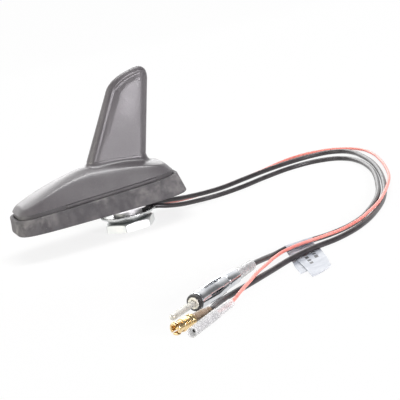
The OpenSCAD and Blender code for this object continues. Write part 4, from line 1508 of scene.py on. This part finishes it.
@dataclass(frozen=True)
class RadioPlug(LeadSizes):
    """Plug of the radio lead: slotted sleeve, collar, ring, bush, pin and clear sleeve."""

    plug_d: float = 8.0
    plug_bulge: float = 0.3
    sleeve_len: float = 21.0
    sleeve_wall: float = 0.5
    plug_len: float = 32.0
    pin_d: float = 2.9
    pin_len: float = 19.0
    ring_proud: float = 1.6
    boot_len: float = 15.0
    slots: int = 6
    slot_w: float = 1.5
    slot_start: float = 6.5
    slot_turn: float = 21.0
    waist: float = 0.5
    seam: float = 0.28
    rib_pitch: float = 1.15

    @property
    def lay(self) -> Lay:
        """Where the plug lies."""
        return Lay((-23.4, -187.1, self.stand_z + self.plug_d / 2 + self.plug_bulge), 39)

    @property
    def r(self) -> float:
        """Radius of the sleeve."""
        return self.plug_d / 2

    @property
    def collar_r(self) -> float:
        """Radius of the collar, which fits into the sleeve."""
        return self.r - self.sleeve_wall - 0.05

    def sleeve(self) -> Piece:
        """Sprung sleeve with six slots that are open at the rear.

        Its radius runs straight between five places, and each slot takes one column of cells.

        Returns:
            The sleeve.
        """
        places = [0, 0.3, self.slot_start - 1, 0.66 * self.sleeve_len, self.sleeve_len]
        reach = [self.r - 0.15, self.r, self.r, self.r + self.plug_bulge, self.r - 0.1]
        rows = np.concatenate(
            [[0, 0.12, 0.3], np.linspace(1.2, self.slot_start, 5), np.linspace(7.5, self.sleeve_len, 12)]
        )
        outer = np.interp(rows, places, reach)
        inner = np.minimum(outer, self.r + self.plug_bulge) - self.sleeve_wall + np.where(rows < 0.2, 0.15, 0)
        pitch, half = TURN / self.slots, math.asin(self.slot_w / 2 / self.r)
        base = math.radians(self.slot_turn) + math.pi / 2
        offsets = np.concatenate([[-half], np.linspace(half, pitch - half, 15)[:-1]])
        angles = (base + np.arange(self.slots)[:, None] * pitch + offsets).ravel()
        column_open = np.arange(len(angles)) % len(offsets) == 0
        row_open = (rows[:-1] + rows[1:]) / 2 > self.slot_start
        return slotted_tube(
            "radio_plug_sleeve_looks", self.lay, rows, angles, (outer, inner), row_open[:, None] & column_open
        )

    def collar(self) -> Piece:
        """Collar inside the sleeve and behind it, with a waist, a rolled groove and a rounded rear edge.

        Returns:
            The collar, whose faces under the sleeve have its second finish, a dark copy of the nickel that
            paints shade there.
        """
        r, low, end, cover = self.collar_r, self.collar_r - self.waist, self.plug_len, self.sleeve_len
        corners = [
            (4.1, 2.6), (4.1, r), (6, r), (6.6, low), (cover - 4, low), (cover - 3, r),
            (cover + 1.2, r), (cover + 1.6, r - 0.25), (cover + 2.2, r - 0.25), (cover + 2.6, r),
            (end, r), (end, 2.6),
        ]
        collar = lathe("radio_plug_collar_looks", self.lay, closed_profile(corners, 0.3))
        middles = np.empty(3 * len(collar.data.polygons))
        collar.data.polygons.foreach_get("center", middles)
        along = (middles.reshape(-1, 3) / MM - np.array(self.lay.front)) @ self.lay.frame[0]
        # Painted shade: the faces under the sleeve take the dark copy of the nickel.
        collar.data.polygons.foreach_set("material_index", (along < cover - 0.2).astype(np.int32))
        return collar

    def ring(self) -> Piece:
        """Black ring in the plug's mouth."""
        proud, collar = self.ring_proud, self.collar_r
        corners = [
            (-proud, 2.05), (-proud, self.r - 0.35), (-0.02, self.r - 0.3), (-0.02, collar),
            (4, collar), (4, 2.05),
        ]
        return lathe("radio_plug_insulator_looks", self.lay, closed_profile(corners, 0.25))

    def bush(self) -> Piece:
        """Ivory bush round the pin, with a flange before the black ring."""
        corners = [
            (-2.3, 1.48), (-2.3, 2.5), (-1.64, 2.65), (-1.64, 2.03), (5, 2.0), (5, 1.05),
            (-1.4, 1.05), (-1.4, 1.48),
        ]
        return lathe("radio_plug_bush_looks", self.lay, closed_profile(corners, 0.12))

    def pin(self) -> Piece:
        """Rolled pin with a domed tip and its seam on top.

        The tip is a quarter of an ellipse, and the seam a narrow bell curve of the angle round the pin.

        Returns:
            The pin.
        """
        r, end, back = self.pin_d / 2, -self.pin_len, -self.ring_proud - 0.05
        q = np.linspace(0, math.pi / 2, 12)
        dome = np.stack([end + 1.1 * (1 - np.cos(q)), 0.02 + (r - 0.02) * np.sin(q)], 1)
        profile = np.vstack([dome, [(back - 0.2, r), (back, r - 0.2), (back, 1.0), (8, 1.0), (8, 0.02)]])
        along, radius = profile[:, :1], profile[:, 1:]
        angles = even_angles(96)
        seam = self.seam * np.exp(-(((angles - math.pi / 2) / 0.1) ** 2))
        depth = np.where((along > end + 1) & (along < back - 0.1), seam, 0)
        rings = self.lay.turned(along, np.maximum(0.01, radius - depth), angles)
        return loft("radio_plug_pin_looks", rings, sharp_deg=45)

    def boot(self) -> Piece:
        """Clear sleeve behind the collar, which tapers and is ribbed by a sine wave."""
        front, rear, bore = self.plug_len - 3, self.plug_len + self.boot_len, self.coax_d / 2 + 0.1
        x = np.linspace(self.plug_len + 0.6, rear - 0.7, 110)
        taper = mix(2.66, 2.2, (x - self.plug_len) / self.boot_len)
        ribbed = taper + 0.09 * np.sin(TURN * x / self.rib_pitch)
        start, end = [(front, bore), (front, 2.5), (self.plug_len, 2.5)], [(rear, 2.0), (rear, bore)]
        profile = np.vstack([start, np.stack([x, ribbed], 1), end])
        return lathe("radio_plug_boot_looks", self.lay, profile, sides=64)

    def place(self, dresser: Dresser) -> list[Piece]:
        """Builds and dresses the plug's pieces."""
        nickel = FINISHES[Slot.NICKEL]
        return [
            dresser.place(self.sleeve(), Slot.NICKEL, "radio_plug_sleeve"),
            dresser.place(self.collar(), Slot.NICKEL, "radio_plug_collar", nickel, SHADED_NICKEL),
            dresser.place(self.ring(), Slot.BLACK, "radio_plug_insulator"),
            dresser.place(self.bush(), Slot.IVORY, "radio_plug_bush"),
            dresser.place(self.pin(), Slot.NICKEL, "radio_plug_pin", PIN_PLATE),
            dresser.place(self.boot(), Slot.CLEAR, "radio_plug_boot"),
        ]


@dataclass(frozen=True)
class GiltPlug(LeadSizes):
    """Small gilt connector with its split collar, grooves and brown sleeve."""

    gilt_d: float = 5.8
    gilt_len: float = 11.5
    gilt_boot_len: float = 10.5
    split: float = 4.0
    petals: int = 4
    slot_w: float = 0.7
    grooves: int = 3
    groove_pitch: float = 1.5

    @property
    def lay(self) -> Lay:
        """Where the connector lies."""
        return Lay((-40.8, -210.9, self.stand_z + self.gilt_d / 2), 30)

    @property
    def r(self) -> float:
        """Radius of the body."""
        return self.gilt_d / 2

    def body(self) -> Piece:
        """Turned body: a collar split into four in front, three grooves, and a disc at the rear.

        Returns:
            The body with its petals.
        """
        r, split, end = self.r, self.split, self.gilt_len
        groove = np.array([(0.3, r - 0.1), (0.9, r - 0.1), (1.1, r - 0.6), (1.6, r - 0.6)])
        places = split + np.arange(self.grooves) * self.groove_pitch
        starts = np.stack([places, 0 * places], -1)[:, None]
        corners = [
            (split, 1.7), (split, r - 0.45), *(groove + starts).reshape(-1, 2),
            (end - 2.4, r - 0.1), (end - 2.2, r), (end - 0.9, r), (end - 0.1, 2.05), (end, 2.05), (end, 0.9),
            (split + 0.5, 0.9), (split + 0.5, 1.7),
        ]
        body = lathe("gilt_body_rear", self.lay, closed_profile(corners, 0.14), 160, 35)
        return join("gilt_body_looks", [body, *(self.petal(index) for index in range(self.petals))])

    def petal(self, index: int) -> Piece:
        """One quarter of the split collar: its profile carried round between two slots.

        Args:
            index: Number of the quarter.

        Returns:
            The quarter.
        """
        r, low, end = self.r, self.r - 0.45, self.split + 0.05
        corners = [(0, 1.7), (0, r - 0.35), (0.7, r), (1.3, r), (1.6, low), (end, low), (end, 1.7)]
        profile = closed_profile(corners, 0.14)
        gap = np.arcsin(self.slot_w / 2 / profile[:, 1])
        start = math.pi / 4 + index * TURN / self.petals
        angle = start + gap + np.linspace(0, 1, 24)[:, None] * (TURN / self.petals - 2 * gap)
        rings = self.lay.turned(profile[:, 0], profile[:, 1], angle)
        return loft(f"gilt_petal_{index + 1}", rings[::-1], sharp_deg=35)

    def sleeve(self) -> Piece:
        """Brown sleeve shrunk over the ferrule and the lead, with a smooth step between them."""
        start, end, bore = self.gilt_len + 0.1, self.gilt_len + self.gilt_boot_len, self.coax_d / 2 + 0.1
        x = np.linspace(start + 0.2, end - 0.2, 40)
        step = smooth(x, self.gilt_len + 6.6, self.gilt_len + 8.2)
        shrunk = mix(2.15, bore + 0.35, step) + 0.03 * np.sin(3.1 * x)
        rear = [(end, bore + 0.25), (end, bore), (self.gilt_len + 7.6, bore), (self.gilt_len + 7.1, 1.8)]
        profile = np.vstack([[(start, 1.8), (start, 2.05)], np.stack([x, shrunk], 1), rear])
        return lathe("gilt_boot_looks", self.lay, profile, sides=64)

    def place(self, dresser: Dresser) -> list[Piece]:
        """Builds and dresses the connector's pieces."""
        return [
            dresser.place(self.body(), Slot.GILT, "gilt_body"),
            dresser.place(self.sleeve(), Slot.BROWN, "gilt_boot"),
        ]


@dataclass(frozen=True)
class SupplyEnd(LeadSizes):
    """Crimped terminal of the supply wire in its clear sleeve."""

    terminal_d: float = 4.4
    terminal_len: float = 34.0
    wall: float = 0.4
    neck: float = 1.5

    @property
    def lay(self) -> Lay:
        """Where the terminal lies."""
        return Lay((-36.4, -219.8, self.stand_z + self.terminal_d / 2), 42.8)

    def terminal(self) -> Piece:
        """Folded barrel, neck and two crimps."""
        r, end = self.terminal_d / 2 - 0.6, self.terminal_len - 12
        corners = [
            (2, r - 0.8), (2, r), (11, r), (12.2, 1.3), (14.6, 1.3), (15.3, 1.62), (17.2, 1.5), (18, 1.25),
            (18.6, 1.25), (19.3, 1.6), (end - 0.9, 1.5), (end - 0.5, 1.1), (end - 0.5, 0.05),
            (11, 0.05), (11, r - 0.8),
        ]
        return lathe("supply_terminal_looks", self.lay, closed_profile(corners, 0.2))

    def sleeve(self) -> Piece:
        """Clear sleeve, open in front and necked down to the wire."""
        r, step, neck, wall = self.terminal_d / 2, self.terminal_len - 11, self.neck, self.wall
        corners = [
            (0, r - wall), (0, r), (step - 1.5, r), (step, neck + wall), (self.terminal_len, neck + wall),
            (self.terminal_len, neck), (step - 0.3, neck), (step - 1.6, r - wall),
        ]
        return lathe("supply_boot_looks", self.lay, closed_profile(corners, 0.3), sides=72)

    def place(self, dresser: Dresser) -> list[Piece]:
        """Builds and dresses the terminal and its sleeve."""
        return [
            dresser.place(self.terminal(), Slot.TIN, "supply_terminal"),
            dresser.place(self.sleeve(), Slot.CLEAR, "supply_boot"),
        ]


@dataclass(frozen=True)
class Leaf:
    """One leaf of the label: its middle line from the lead, and the turn of its cross lines."""

    name: str
    line: tuple[Range, Range, Range, Range]
    skew: tuple[float, float, float, float]
    curl: float


@dataclass(frozen=True)
class FlagLabel(LeadSizes):
    """Label folded round the radio lead, with two leaves that lie flat. Its marks are plain dashes."""

    label_w: float = 14.0
    label_t: float = 0.3
    turn: float = 5.6
    middle: Range = (43.0, -138.15)
    columns: int = 28
    rows: int = 70
    dash_w: int = 4
    dashes: tuple[tuple[int, tuple], ...] = (
        (8, ((17, 22), (24, 27), (29, 34), (36, 40), (42, 46))),
        (17, ((15, 19), (21, 26), (28, 31), (33, 39))),
    )
    main: Leaf = Leaf("label_leaf_main", ((0, -0.75), (-1.6, -14), (-5, -32), (-9, -49)), (0, 6, 16, 26), 0.5)
    rear: Leaf = Leaf("label_leaf_rear", ((0, -0.75), (-3, -13), (-7, -27), (-9.5, -39)), (0, 4, 9, 16), 0.0)

    def slab(self, leaf: Leaf, low: float, high: float) -> Piece:
        """One leaf as a thin slab of small cells.

        Cross lines of even length are set along its middle line, and its sides curl up with the square
        of the place across, more towards its end.

        Args:
            leaf: The leaf.
            low: Height of its lower face.
            high: Height of its upper face.

        Returns:
            The slab, whose upper cells come first, row by row.
        """
        t, marks = np.linspace(0, 1, self.rows + 1), np.linspace(0, 1, 4)
        x, y = (np.interp(t, marks, spot)[:, None] for spot in (np.array(leaf.line) + self.middle).T)
        angle = np.radians(self.turn + np.interp(t, marks, leaf.skew))[:, None]
        across = np.linspace(-0.5, 0.5, self.columns + 1)
        curl = leaf.curl * smooth(t, 0.25, 1.0)[:, None] * (across * 2) ** 2
        spots = x + across * self.label_w * np.cos(angle), y + across * self.label_w * np.sin(angle)
        skins = [np.stack([*spots, height + curl], -1).reshape(-1, 3) for height in (high, low)]
        count, columns = len(skins[0]), self.columns + 1
        grid = np.arange(count).reshape(-1, columns)
        rim = np.concatenate([grid[0], grid[1:, -1], grid[-1, -2::-1], grid[-2:0:-1, 0]])
        ahead = np.roll(rim, -1)
        top = grid_faces(len(grid), columns, False, False)[:, [0, 3, 2, 1]]
        walls = np.stack([rim, ahead, ahead + count, rim + count], 1)
        return make_mesh(leaf.name, np.vstack(skins), np.vstack([top, top[:, ::-1] + count, walls]).tolist())

    def wrap(self) -> Piece:
        """The part of the label that goes round the lead."""
        inner = self.coax_d / 2 + 0.05
        outer = inner + self.label_t / 2
        t = math.radians(self.turn)
        front = np.array(self.middle) - np.array([math.cos(t), math.sin(t)]) * self.label_w / 2
        lay = Lay((front[0], front[1], self.stand_z + outer), self.turn)
        profile = np.array([(0, inner), (0, outer), (self.label_w, outer), (self.label_w, inner)])
        return lathe("label_wrap", lay, profile, 48)

    def mark(self, piece: Piece) -> None:
        """Gives the upper cells of two broken rows the ink, which is the second finish.

        Args:
            piece: The joined label, whose first cells are the main leaf's upper ones.
        """
        inked = np.zeros((self.rows, self.columns), bool)
        for first, runs in self.dashes:
            for start, end in runs:
                inked[start:end, first:first + self.dash_w] = True
        index = np.zeros(len(piece.data.polygons), np.int32)
        index[:inked.size] = inked.ravel()
        piece.data.polygons.foreach_set("material_index", index)

    def place(self, dresser: Dresser) -> list[Piece]:
        """Builds the leaves and the wrap as one piece, and dresses and marks it."""
        low, thick = self.stand_z, self.label_t
        main = self.slab(self.main, low + 0.45 * thick, low + thick)
        rear = self.slab(self.rear, low, low + 0.4 * thick)
        label = join("flag_label_looks", [main, rear, self.wrap()])
        dresser.place(label, Slot.LABEL, "flag_label", FINISHES[Slot.LABEL], LABEL_INK)
        self.mark(label)
        return [label]


# Leads


@dataclass(frozen=True)
class Leads(LeadSizes):
    """The three leads and what is on them. Their routes have the same points as the CAD source's."""

    grommet_in: float = 4.2
    grommet_out: float = 10.4
    radio: RadioPlug = field(default_factory=RadioPlug)
    gilt: GiltPlug = field(default_factory=GiltPlug)
    end: SupplyEnd = field(default_factory=SupplyEnd)
    label: FlagLabel = field(default_factory=FlagLabel)

    def start(self, y: float, z: float) -> list[Point]:
        """Straight way out of the grommet, whose second point is the lead's exit."""
        return [(self.grommet_in - 0.4, y, z), (self.grommet_out + 0.5, y, z)]

    def radio_route(self) -> list[Point]:
        """Route of the radio lead, over the label's inner leaf and into the radio plug."""
        coax, plug = self.stand_z + self.coax_d / 2, self.radio
        lift = coax + 0.05 + self.label.label_t / 2
        return self.start(-1.1, -5.7) + [
            (15.5, -1.2, -5.9), (21, -1, -7.4), (31, 3, -9.9), (41, 6.8, -11.4),
            (53, 8.2, coax), (67, 10.8, coax), (85, 18, coax), (103, 22.8, coax),
            (116, 21.4, coax), (125, 15.2, coax), (129.8, 5, coax), (130.8, -9, coax),
            (129, -24, coax), (125.2, -40.4, coax), (119.6, -57, coax), (114, -71, coax),
            (108.4, -84, coax), (102.4, -95.4, coax), (96.4, -105, coax), (88.6, -115.6, coax),
            (79.4, -126, coax), (67, -134, coax), (57, -136.6, coax), (50.6, -137.4, lift),
            (35.4, -138.9, lift), (29, -142.4, coax + 0.2), (22.4, -148.6, (coax + plug.lay.front[2]) / 2),
            plug.lay.behind(plug.plug_len + plug.boot_len + 1), plug.lay.behind(plug.plug_len - 1),
        ]

    def digital_route(self) -> list[Point]:
        """Route of the digital lead, into the gilt connector."""
        coax, gilt = self.stand_z + self.coax_d / 2, self.gilt
        axis_z = gilt.lay.front[2]
        return self.start(1.6, -4.7) + [
            (15.5, 2, -4.7), (21, 3.8, -5.4), (28, 7.4, -7), (38, 12.8, -9.1),
            (50, 18.4, -10.9), (62, 24, coax), (77, 29.6, coax), (95, 35.6, coax),
            (110, 38, coax), (121, 37.6, coax), (130, 34.4, coax), (136, 26.6, coax),
            (138.2, 14, coax), (137, 0, coax), (134, -18.6, coax), (129, -38.2, coax),
            (123, -56.4, coax), (116.6, -73, coax), (109, -90, coax), (100.4, -106, coax),
            (91, -119.6, coax), (81.4, -131, coax), (70.4, -140.6, coax), (58, -147.2, coax),
            (46, -151.4, coax + 0.4), (33, -157, coax + 0.4), (18, -166, coax), (9, -172.2, coax),
            (0, -178.2, coax), (-7.6, -183.2, coax), (-13.6, -188.8, mix(coax, axis_z, 0.3)),
            (-17.8, -194.4, mix(coax, axis_z, 0.7)),
            gilt.lay.behind(gilt.gilt_len + gilt.gilt_boot_len + 1), gilt.lay.behind(gilt.gilt_len + 7.5),
        ]

    def supply_route(self) -> list[Point]:
        """Route of the supply wire, over both leads and into its terminal."""
        wire, end = self.stand_z + self.wire_d / 2, self.end
        return self.start(2.95, -6.2) + [
            (15.5, 3.6, -6.35), (21, 6.4, -7.4), (29, 11.6, -9.2), (39, 17.2, -11),
            (51, 23, -12.1), (63, 28.8, wire), (77, 34, wire), (88, 38.6, wire),
            (99, 44, wire), (110, 49, wire), (121, 50.2, wire), (132, 45.6, wire),
            (141, 34, wire), (145, 18, wire), (143.8, 1, wire), (138.8, -21, wire),
            (132, -43, wire), (124.2, -63, -12), (116.4, -79, -11), (109, -93, -10), (103, -103, -9.7),
            (95.4, -114, -9.7), (85.6, -125.2, -9.7), (73.6, -136, -9.9), (64, -140, -10.4),
            (52, -140.6, -10.9), (40, -141.6, -11.1), (32.6, -144.4, -11.2), (26.4, -150, -11),
            (18.6, -160, -10.3), (12, -168.6, -9.6), (5, -178, -9.6), (-3, -187.6, -10),
            end.lay.behind(end.terminal_len + 1), end.lay.behind(end.terminal_len - 12),
        ]

    def declare(self, piece: Piece, route: list[Point], width: float, end: FarEnd, stiffness: Stiffness,
                others: Sequence[Piece]) -> None:
        """Takes a lead and what is on it, and does nothing with them: no cord is declared.

        Args:
            piece: The lead. Not used.
            route: Its route, whose second point is its exit. Not used.
            width: Its diameter. Not used.
            end: What is on its far end. Not used.
            stiffness: How stiff it is. Not used.
            others: The pieces on it. Not used.
        """

    def place(self, dresser: Dresser, nodes: dict[str, Piece]) -> None:
        """Args:
            dresser: Gives the finishes.
            nodes: The CAD nodes, of which the gilt connector keeps three inner ones.
        """
        coax, wire = self.coax_d, self.wire_d
        leads = (
            (self.radio_route(), coax, Slot.SHEATH, "radio_lead", FarEnd.PLUG, Stiffness.MEDIUM),
            (self.digital_route(), coax, Slot.SHEATH, "digital_lead", FarEnd.CONNECTOR, Stiffness.MEDIUM),
            (self.supply_route(), wire, Slot.WIRE, "supply_wire", FarEnd.FITTING, Stiffness.LIMP),
        )
        tubes = [
            dresser.place(tube(f"{node}_looks", smooth_path(route), width / 2), slot, node)
            for route, width, slot, node, _, _ in leads
        ]
        on_radio = self.radio.place(dresser) + self.label.place(dresser)
        on_digital = self.gilt.place(dresser)
        on_digital += [nodes[name] for name in ("gilt_insulator", "gilt_contact", "gilt_ferrule")]
        on_supply = self.end.place(dresser)
        for piece, lead, others in zip(tubes, leads, (on_radio, on_digital, on_supply)):
            route, width, _, _, end, stiffness = lead
            self.declare(piece, route, width, end, stiffness, others)


# Studio


@dataclass(frozen=True)
class PhotoCamera:
    """The photograph's view: the part seen from its left and a little above, turned in the picture."""

    azimuth: float = -15.5
    elevation: float = 12.3
    roll: float = 13.0
    focal_px: float = 1600.0
    picture_px: float = 400.0
    sensor_mm: float = 36.0
    anchor_mm: Point = (0.0, 0.0, -4.6)
    anchor_px: Range = (127.8, 211.05)
    px_per_mm: float = 1.88
    clip_end: float = 100.0

    def make(self) -> None:
        """Creates the camera.

        It looks back along the view's direction, and lies on the anchor's ray at the distance that
        gives the scale, so that the anchor point has its place in the picture.
        """
        a, e, r = (math.radians(v) for v in (self.azimuth, self.elevation, self.roll))
        back = Vector((math.sin(a) * math.cos(e), -math.cos(a) * math.cos(e), math.sin(e)))
        level = Vector((math.cos(a), math.sin(a), 0))
        upright = back.cross(level)
        right = math.cos(r) * level - math.sin(r) * upright
        up = math.sin(r) * level + math.cos(r) * upright
        across = (self.anchor_px[0] - self.picture_px / 2) / self.focal_px
        above = (self.picture_px / 2 - self.anchor_px[1]) / self.focal_px
        ray = right * across + up * above - back
        place = (Vector(self.anchor_mm) - ray * (self.focal_px / self.px_per_mm)) * MM
        data = bpy.data.cameras.new("photo_camera")
        data.lens = self.sensor_mm * self.focal_px / self.picture_px
        data.sensor_width = self.sensor_mm
        data.clip_end = self.clip_end
        camera = bpy.data.objects.new("photo_camera", data)
        camera.matrix_world = Matrix.Translation(place) @ Matrix((right, up, back)).transposed().to_4x4()
        bpy.context.scene.collection.objects.link(camera)
        bpy.context.scene.camera = camera


@dataclass(frozen=True)
class Lamp:
    """A soft lamp with its place and the point it looks at, in millimetres."""

    name: str
    place: Point
    target: Point
    width: float
    depth: float
    watts: float
    colour: Point = (1.0, 1.0, 1.0)

    def make(self) -> None:
        """Creates the lamp, which the camera doesn't see."""
        data = bpy.data.lights.new(self.name, "AREA")
        data.shape = "RECTANGLE"
        data.size, data.size_y = self.width * MM, self.depth * MM
        data.energy = self.watts
        data.color = self.colour
        lamp = bpy.data.objects.new(self.name, data)
        lamp.visible_camera = False
        lamp.location = Vector(self.place) * MM
        way = Vector(self.target) - Vector(self.place)
        lamp.rotation_euler = way.to_track_quat("-Z", "Y").to_euler()
        bpy.context.scene.collection.objects.link(lamp)


@dataclass(frozen=True)
class Studio:
    """White floor, white background and soft lamps."""

    floor_z: float
    floor_reach: float = 12000.0
    lamps: tuple[Lamp, ...] = (
        Lamp("overhead", (90, 70, 640), (20, 0, 0), 640, 130, 4.2),
        Lamp("front_top", (150, -330, 520), (10, 0, 10), 300, 160, 0.3),
        Lamp("front_right", (215, -700, 50), (20, 0, 40), 100, 300, 3.9, (0.99, 0.95, 1.0)),
        Lamp("left", (-620, -60, 120), (-20, 0, 20), 300, 300, 2.4, (1.0, 0.98, 0.88)),
        Lamp("back", (170, 740, 300), (0, 0, 20), 600, 360, 1.8),
    )

    def floor(self) -> None:
        """Wide white floor under the part.

        Most of its white is its own, all the more away from the part, and it keeps a pale shadow.
        """
        corners = np.array([(-1, -1), (1, -1), (1, 1), (-1, 1)]) * self.floor_reach
        floor = make_mesh("floor", np.insert(corners, 2, self.floor_z - 0.02, axis=1), [(0, 1, 2, 3)])
        material = bpy.data.materials.new("floor_paper")
        material.use_nodes = True
        material.node_tree.nodes.clear()
        nodes = Nodes(material.node_tree)
        white = {"Color": rgb(0.8, 0.8, 0.8), "Roughness": 1.0}
        paper = nodes.node("ShaderNodeBsdfDiffuse", white).outputs[0]
        glow = nodes.node("ShaderNodeEmission", {"Color": rgb(1, 1, 1), "Strength": 1.0}).outputs[0]
        away = nodes.node("ShaderNodeVectorMath", {0: nodes.place}, operation="LENGTH").outputs["Value"]
        share = nodes.math("MULTIPLY", nodes.shown(), nodes.spread(away, 0.06, 0.24, 0.80, 0.98))
        mixed = nodes.node("ShaderNodeMixShader", {0: share, 1: paper, 2: glow}).outputs[0]
        nodes.node("ShaderNodeOutputMaterial", {"Surface": mixed})
        floor.data.materials.append(material)

    def world(self) -> None:
        """White to the camera. Elsewhere soft light, with a brighter side behind and to the left."""
        world = bpy.data.worlds.new("studio")
        bpy.context.scene.world = world
        world.use_nodes = True
        world.node_tree.nodes.clear()
        nodes = Nodes(world.node_tree)
        x, y, z = nodes.parts(nodes.node("ShaderNodeTexCoord").outputs["Generated"])
        across = nodes.spread(x, -0.55, -0.05, 0.45, 1.0)
        behind = nodes.math("MULTIPLY", nodes.spread(y, 0.05, 0.5, 0, 1.0), across)
        backdrop = nodes.math("MULTIPLY", behind, nodes.spread(z, 0.6, 0.8, 1, 0))
        left = nodes.math("MULTIPLY", nodes.spread(x, -0.9, -0.3, 0.22, 0), nodes.spread(z, 0.4, 0.7, 1, 0))
        soft = nodes.math("ADD", nodes.math("ADD", backdrop, left), 0.22)
        rays = nodes.node("ShaderNodeLightPath").outputs
        strength = nodes.math("MAXIMUM", soft, rays["Is Camera Ray"])
        sky = nodes.node("ShaderNodeBackground", {"Color": rgb(1, 1, 1), "Strength": strength}).outputs[0]
        nodes.node("ShaderNodeOutputWorld", {"Surface": sky})

    def build(self) -> None:
        """Sets the plain view and creates the floor, the world and the lamps."""
        view = bpy.context.scene.view_settings
        view.view_transform, view.look = "Standard", "None"
        self.floor()
        self.world()
        for lamp in self.lamps:
            lamp.make()
            log.info("lamp %s: %.1f W", lamp.name, lamp.watts)


def corners(bounds: Sequence[Sequence[float]]) -> list[list[float]]:
    """A box as plain lists of numbers."""
    return [[float(value) for value in corner] for corner in bounds]


def main() -> None:
    """Builds the dressed part, piece by piece."""
    logging.basicConfig(level=logging.INFO, format="%(name)s: %(message)s")
    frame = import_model()
    PhotoCamera().make()
    dresser, leads = Dresser(), Leads()
    leads.place(dresser, frame["nodes"])
    Casing().place(dresser)
    Fixing().place(dresser)
    dresser.dress_frame(frame)
    Studio(leads.stand_z).build()
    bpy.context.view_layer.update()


if __name__ == "__main__":
    main()
